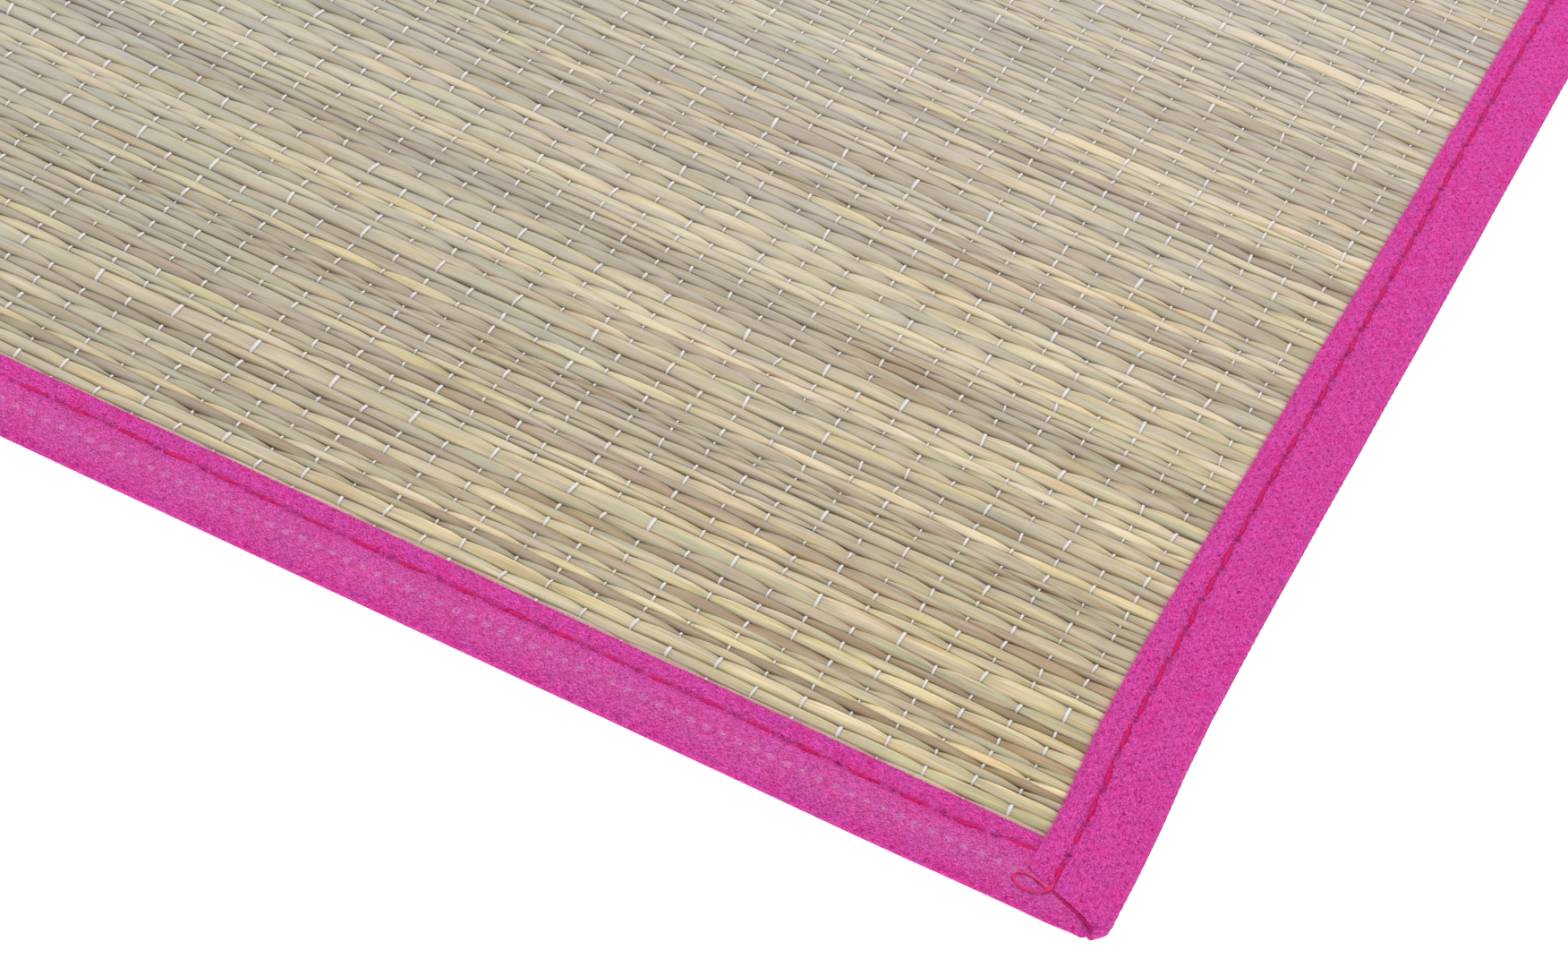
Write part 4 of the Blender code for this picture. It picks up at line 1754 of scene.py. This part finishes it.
@dataclass
class ShortTape(Tape):
    """The tape round a short edge. side is the sign of Y. Its ends are inside the long tapes."""

    length: float = 0.588
    fold_depth: float = 1.9 * MM
    fed: float = 1.0
    half_width: float = 296.8 * MM
    half_length: float = 897.8 * MM
    width: float = 22.6 * MM
    seam_line: float = 16.0 * MM
    fold_drop: float = 1.2 * MM
    seam_rise: float = 2.0 * MM
    top: float = 4.18 * MM
    seen_from: float = 0.0
    seen_step: float = 1.6 * MM
    plain_step: float = 10 * MM
    puff: float = 0.3 * MM
    seam_depth: float = 0.34 * MM
    seam_width: float = 1.3 * MM

    def stations(self) -> np.ndarray:
        """Rows of points, close together along the part seen near by.

        Returns:
            The places in order.
        """
        if not self.seen_close():
            return np.linspace(-self.half_width, self.half_width, 61)
        corner = 290 * MM
        rest = np.arange(-self.half_width, self.seen_from, self.plain_step)
        seen = np.arange(self.seen_from, corner, self.seen_step)
        return np.concatenate([rest, seen, np.linspace(corner, self.half_width, 14)])

    def edge(self, along: np.ndarray) -> np.ndarray:
        """The outer edge wanders a little, and rounds off where it goes into the long tape.

        Args:
            along: The place along the edge.

        Returns:
            Its distance from the mat's middle line.
        """
        off = np.abs(along)
        shoulder = 0.7 * MM * ease((off - 286 * MM) / (10 * MM))
        round_off = shoulder + 2.6 * MM * ease((off - 294.8 * MM) / (3 * MM))
        return self.half_length - wander(along, 0.7 * self.side) - round_off

    def widths(self, along: np.ndarray) -> tuple[np.ndarray, np.ndarray]:
        """Widths of the two layers."""
        strayed = wander(along, 1.6 + self.side) - wander(along, 0.7 * self.side)
        return self.width + strayed, self.width + 0 * along

    def levels(self, along: np.ndarray) -> tuple[np.ndarray, np.ndarray]:
        """The tape lies on the floor between the corners, and over the long tapes' lower layers at them.

        Args:
            along: The place along the edge.

        Returns:
            Heights of its underside and of its upper side.
        """
        on_tape = ease((np.abs(along) - 235 * MM) / (45 * MM))
        tuck = ease((np.abs(along) - 291 * MM) / (6 * MM))
        return (0.08 + 0.62 * on_tape) * MM, self.top - 1.3 * MM * tuck

    def seam(self, along: np.ndarray) -> np.ndarray:
        """The seam turns inwards where it goes under the long tape."""
        rise = self.seam_rise * ease((np.abs(along) - 262 * MM) / (12 * MM))
        return self.seam_line + rise + 0.35 * MM * np.sin(along / (23 * MM))

    def place(self, along: np.ndarray, inwards: np.ndarray, z: np.ndarray) -> np.ndarray:
        """Points in the mat's frame."""
        return np.stack([along, self.side * (self.edge(along) - inwards), z], -1)

    def inner_heading(self) -> float:
        """No turn on the near edge, and half a turn on the far one."""
        return math.pi if self.side > 0 else 0.0

    def seen_close(self) -> bool:
        """The picture shows the near edge."""
        return self.side < 0


@dataclass
class Seam:
    """The lockstitch that holds a folded tape, each stitch sunk into the felt between two needle holes."""

    name: str
    tape: Tape
    width: float = 1.0 * MM
    height: float = 0.40 * MM
    gap: float = 0.8 * MM
    rise: float = 0.04 * MM
    slant: float = 0.06
    fine: bool = False
    seed: int = 5

    def build(self, finish: Material, face: int) -> Piece:
        """Sets a stitch between each two needle holes on one face.

        Args:
            finish: The thread's material.
            face: 1 for the upper face, -1 for the lower one.

        Returns:
            The stitches as one piece.
        """
        tape = self.tape
        holes = tape.holes()
        start, end = holes[:-1], holes[1:]
        middle = (start + end) / 2
        ends = [
            tape.place(spot, tape.seam(spot), tape.height(spot, tape.seam(spot))) for spot in (start, end)
        ]
        reach = ends[1] - ends[0]
        points = (ends[0] + ends[1]) / 2
        above = tape.height(middle, tape.seam(middle)) + self.rise
        points[:, 2] = above if face > 0 else tape.levels(middle)[0] + 0.02 * MM
        draw = np.random.default_rng(self.seed)
        count = len(points)
        heading = np.arctan2(reach[:, 1], reach[:, 0]) - math.pi / 2
        flip = np.full(count, 0.0 if face > 0 else math.pi)
        turn = np.stack([np.zeros(count), flip, (heading + self.slant) * face], 1)
        length = np.linalg.norm(reach, axis=1) - self.gap
        width = self.width * draw.normal(1, 0.08, count)
        size = np.stack([width, length, np.full(count, self.height)], 1)
        return scattered(self.name, points, turn, size, self._stitch(), finish)

    def _stitch(self) -> Piece:
        """One stitch of unit size, whose ends go down through the needle holes.

        Returns:
            The stitch.
        """
        if self.fine:
            path = ((-0.5, -1.5), (-0.43, 0.0), (-0.22, 0.1), (0.06, 0.1), (0.38, 0.0), (0.5, -1.5))
            return rod("seam_stitch", path, (0.3, 0.5, 1.1, 1.0, 0.42, 0.3), 6)
        path = ((-0.5, -1.6), (-0.4, 0.1), (0.4, 0.1), (0.5, -1.6))
        return rod("seam_stitch", path, (0.5, 1.0, 1.0, 0.5), 4)


@dataclass
class Fuzz:
    """Loose fibres that stand out of a tape's cut edge over the straws, or out of its seam."""

    name: str
    tape: Tape
    start: float
    end: float
    on_seam: bool = False
    per_metre: float = 20000.0
    length: float = 1.0 * MM
    width: float = 0.07 * MM  # About twice a real fibre, so that it shows.
    spread: float = 0.8 * MM
    seed: int = 3

    def build(self, finish: Material) -> Piece:
        """Sets fibres along the upper layer's free edge or over its seam, each at its own angle and length.

        Args:
            finish: The fibres' material.

        Returns:
            The fibres as one piece.
        """
        tape = self.tape
        draw = np.random.default_rng(self.seed)
        count = int((self.end - self.start) * self.per_metre)
        along = draw.uniform(self.start, self.end, count)
        back = np.abs(draw.normal(0, 0.5 * MM, count))
        if self.on_seam:
            inwards = tape.seam(along) + draw.normal(0, self.spread, count)
            z = tape.height(along, inwards) + draw.uniform(0.05, 0.35, count) * MM
        else:
            inwards = tape.widths(along)[0] - back
            hanging = draw.uniform(0, 0.35, count) * MM * (back < 0.2 * MM)
            z = tape.height(along, inwards) - tape.edge_bend - hanging
        points = tape.place(along, inwards, z)
        heading = tape.inner_heading() + draw.normal(0, 3.0 if self.on_seam else 0.85, count)
        pitch = draw.uniform(-0.1, 0.1, count) if self.on_seam else draw.uniform(-0.3, 0.5, count)
        turn = np.stack([pitch, np.zeros(count), heading], 1)
        long = self.length * np.clip(draw.lognormal(0, 0.4, count), 0.4, 2.2)
        size = np.stack([np.full(count, self.width), long, np.full(count, self.width)], 1)
        fibre = rod("fibre", ((0.0, 0.0), (1.0, 0.0)), (1.0, 0.0), 3)
        return scattered(self.name, points, turn, size, fibre, finish)


@dataclass
class ThreadEnd:
    """A loose end of seam thread at the near right corner.

    The route's points are in millimetres: inwards from the long edge, along from the short edge, and up.
    """

    name: str
    route: tuple[tuple[float, float, float], ...]
    radius: float
    long_edge: float = 296.7 * MM
    short_edge: float = -900 * MM
    points: int = 60
    sides: int = 6

    def build(self, finish: Material) -> Piece:
        """Sweeps the thread along its route.

        Args:
            finish: The thread's material.

        Returns:
            The thread.
        """
        inwards, along, z = np.array(self.route).T * MM
        spots = np.stack([self.long_edge - inwards, along + self.short_edge, z], 1)
        number = np.arange(len(spots))
        guide = guide_mesh(self.name + "_route", spots, np.stack([number[:-1], number[1:]], 1))
        kinds = {"Route": "NodeSocketGeometry", "Radius": "NodeSocketFloat", "Finish": "NodeSocketMaterial"}
        tree = new_tree("Thread", kinds)
        given = add_node(tree, "NodeGroupInput")
        line = add_node(tree, "GeometryNodeMeshToCurve", {"Mesh": given.outputs["Route"]})
        bent = add_node(
            tree, "GeometryNodeCurveSplineType", {"Curve": line.outputs[0]}, spline_type="CATMULL_ROM"
        )
        even = add_node(
            tree, "GeometryNodeResampleCurve", {"Curve": bent.outputs[0], "Count": self.points}
        )
        ring = add_node(
            tree, "GeometryNodeCurvePrimitiveCircle",
            {"Resolution": self.sides, "Radius": given.outputs["Radius"]},
        )
        swept = add_node(
            tree, "GeometryNodeCurveToMesh",
            {"Curve": even.outputs[0], "Profile Curve": ring.outputs[0], "Fill Caps": True},
        )
        end_tree(tree, swept.outputs[0], given.outputs["Finish"])
        return grown(self.name, guide, tree, {"Radius": self.radius, "Finish": finish})


@dataclass
class Studio:
    """The plain pale floor, the soft light and the camera."""

    aim: Vector = field(default_factory=lambda: Vector((176.7 * MM, -799.5 * MM, 3.8 * MM)))
    distance: float = 1.0281
    azimuth: float = 14.32
    elevation: float = 39.97
    roll: float = 14.98
    lens: float = 95.62
    sensor: float = 36.0
    sky: float = 1.1
    key: float = 36.0
    key_size: tuple[float, float] = (2.4, 1.6)
    key_place: tuple[float, float, float] = (-0.5, 1.0, 2.2)
    table: float = 0.75
    floor_reach: float = 12.0
    floor_level: float = -0.2 * MM

    def build(self) -> None:
        """Sets up the floor, the lights and the camera."""
        bpy.context.scene.view_settings.view_transform = "Standard"
        self._floor()
        self._lights()
        self._camera()

    def _floor(self) -> None:
        """A white sweep of paper on a light table, far larger than the mat."""
        material, _, shader = new_material("white_studio_paper")
        shader.inputs["Base Color"].default_value = linear("FCFCFC")
        shader.inputs["Roughness"].default_value = 0.9
        shader.inputs["Emission Color"].default_value = (1.0, 1.0, 1.0, 1.0)
        shader.inputs["Emission Strength"].default_value = self.table
        mesh = bpy.data.meshes.new("floor")
        reach, level = self.floor_reach, self.floor_level
        corners = [(-reach, -reach), (reach, -reach), (reach, reach), (-reach, reach)]
        mesh.from_pydata([(x, y, level) for x, y in corners], [], [(0, 1, 2, 3)])
        mesh.materials.append(material)
        new_object("floor", mesh)

    def _lights(self) -> None:
        """An even white room, with one large soft light high up behind the mat."""
        world = bpy.data.worlds.new("studio")
        world.use_nodes = True
        bpy.context.scene.world = world
        background = world.node_tree.nodes["Background"]
        background.inputs["Color"].default_value = (1.0, 1.0, 1.0, 1.0)
        background.inputs["Strength"].default_value = self.sky
        lamp = bpy.data.lights.new("key", "AREA")
        lamp.shape = "RECTANGLE"
        lamp.size, lamp.size_y = self.key_size
        lamp.energy = self.key
        light = bpy.data.objects.new("key", lamp)
        light.location = self.key_place
        aimed = self.aim - light.location
        light.rotation_euler = aimed.to_track_quat("-Z", "Y").to_euler()
        bpy.context.scene.collection.objects.link(light)

    def _camera(self) -> None:
        """Puts the camera at the angle, distance and tilt that the picture was taken from."""
        data = bpy.data.cameras.new("camera")
        data.lens = self.lens
        data.sensor_fit = "HORIZONTAL"
        data.sensor_width = self.sensor
        data.clip_start = 0.01
        camera = bpy.data.objects.new("camera", data)
        turned = Euler((math.radians(90 - self.elevation), 0.0, math.radians(self.azimuth)), "XYZ")
        basis = turned.to_matrix() @ Matrix.Rotation(math.radians(self.roll), 3, "Z")
        camera.rotation_euler = basis.to_euler()
        camera.location = self.aim + basis @ Vector((0.0, 0.0, self.distance))
        bpy.context.scene.collection.objects.link(camera)
        bpy.context.scene.camera = camera


def hand_over(piece: Piece) -> None:
    """Fixes a finished piece to the mat's one body, and reports it.

    Args:
        piece: The finished piece.
    """
    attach(piece, "root")
    LOG.info("%s: %d triangles", piece.name, sum(len(face.vertices) - 2 for face in piece.data.polygons))


def bind_edges(tapes: tuple[Tape, ...], felt: Material, thread: Material) -> None:
    """Makes the four tapes and sews them down, above and below.

    Args:
        tapes: The tapes.
        felt: Their material.
        thread: The seams' material.
    """
    for tape in tapes:
        piece = tape.build(felt)
        seam = Seam(tape.name + "_seam", tape, fine=tape.seen_close())
        if isinstance(tape, ShortTape):
            seam.width, seam.gap, seam.rise = 1.5 * MM, 3.6 * MM, -0.03 * MM
        over = seam.build(thread, 1)
        under = Seam(tape.name + "_seam_under", tape).build(thread, -1)
        for part, slot in ((piece, "pink_felt"), (over, "seam_thread"), (under, "seam_thread")):
            hand_over(part)
        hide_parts(tape.name)


def loosen(
    right: LongTape, near: ShortTape, felt_fibre: Material, thread_fibre: Material, frayed: Material
) -> None:
    """Adds the loose fibres and thread ends along the two edges that are seen near by.

    Args:
        right: The tape round the right long edge.
        near: The tape round the near short edge.
        felt_fibre: The material of single fibres of the felt.
        thread_fibre: The seam thread's material.
        frayed: The material of the seam thread where it has come apart.
    """
    right_end, right_start = -430 * MM, -888 * MM
    near_start, near_end = 10 * MM, 275 * MM
    for fuzz in (
        Fuzz("fuzz_right", right, -877 * MM, right_end),
        Fuzz("fuzz_near", near, near_start, near_end),
        Fuzz("fuzz_right_seam", right, right_start, right_end, on_seam=True, per_metre=2500.0),
        Fuzz("fuzz_near_seam", near, near_start, near_end, on_seam=True, per_metre=4000.0),
    ):
        hand_over(fuzz.build(felt_fibre))
    for name, tape, start, end, spread, seed in (
        ("frayed_right", right, right_start, right_end, 0.35 * MM, 8),
        ("frayed_near", near, near_start, near_end, 0.4 * MM, 9),
    ):
        fuzz = Fuzz(name, tape, start, end, on_seam=True, per_metre=5000.0, spread=spread, seed=seed)
        hand_over(fuzz.build(thread_fibre))
    loop = (
        (12.7, 11.0, 4.8), (13.2, 8.6, 4.75), (15.4, 7.0, 4.7), (18.4, 6.6, 4.7), (20.8, 7.8, 4.7),
        (21.3, 9.6, 4.7), (19.6, 10.9, 4.7), (16.8, 10.8, 4.7), (14.4, 9.9, 4.75), (12.8, 8.8, 4.8),
        (12.4, 10.0, 4.8), (12.6, 12.6, 4.75),
    )
    tail = (
        (12.6, 10.2, 4.75), (11.0, 9.35, 4.5), (9.0, 8.5, 4.42), (5.8, 7.3, 4.2), (2.9, 6.3, 3.8),
        (0.7, 5.6, 3.3), (-0.1, 5.2, 2.9),
    )
    hand_over(ThreadEnd("corner_thread", loop, 0.28 * MM).build(frayed))
    hand_over(ThreadEnd("corner_tail", tail, 0.2 * MM).build(thread_fibre))


def weave_panel(rush: Material, warp: Material) -> None:
    """Weaves the panel in four bands, with more points in those that are seen near by.

    Args:
        rush: The straws' material.
        warp: The threads' material.
    """
    low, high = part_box("straw_panel")
    weave = Weave(low, high)
    seen = 470 * MM
    near = int(np.searchsorted(weave.edges, -weave.half_length + seen))
    first = near // 2
    far = near + (weave.rows - near) // 2
    bands = (
        StrawBand("straws_near", weave, 0, first, Detail.CLOSE),
        StrawBand("straws_middle", weave, first, near, Detail.MIDDLE),
        StrawBand("straws_beyond", weave, near, far, Detail.PLAIN),
        StrawBand("straws_far", weave, far, weave.rows, Detail.PLAIN),
    )
    for band in bands:
        straws = band.build(rush)
        over = WarpStitches(band.name + "_thread", band, "top").build(warp)
        under = WarpStitches(band.name + "_thread_under", band, "base").build(warp)
        for piece, slot in ((straws, "woven_rush"), (over, "warp_thread"), (under, "warp_thread")):
            hand_over(piece)
        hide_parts("straw_panel")


def main() -> None:
    """Builds the mat, piece by piece, and its studio."""
    logging.basicConfig(level=logging.INFO, format="%(message)s")
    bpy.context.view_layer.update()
    felt = FeltFinish().build()
    # Dyed polyester sewing thread: deep crimson, redder than the felt, with painted shade between its plies.
    crimson = ThreadFinish("crimson_sewing_thread", "CC0460", "A20050").build()
    # The same thread where it has come untwisted: its open fibres scatter light and look paler.
    frayed = ThreadFinish("frayed_crimson_thread", "E03278", "C81C62").build()
    # Single felt fibres with light all round them: paler than the felt that they stand out of.
    fibre = ThreadFinish("loose_felt_fibre", "F074C2", "E664B2").build()
    right, left = LongTape("long_binding_right", 1), LongTape("long_binding_left", -1)
    near, far = ShortTape("short_binding_near", -1), ShortTape("short_binding_far", 1)
    bind_edges((right, left, near, far), felt, crimson)
    loosen(right, near, fibre, crimson, frayed)
    # Undyed polyester warp: off-white, with faint grey painted shade between its plies.
    warp = ThreadFinish("white_warp_thread", "E0DCD9", "C4BEBE").build()
    weave_panel(RushFinish().build(), warp)
    Studio().build()


if __name__ == "__main__":
    main()
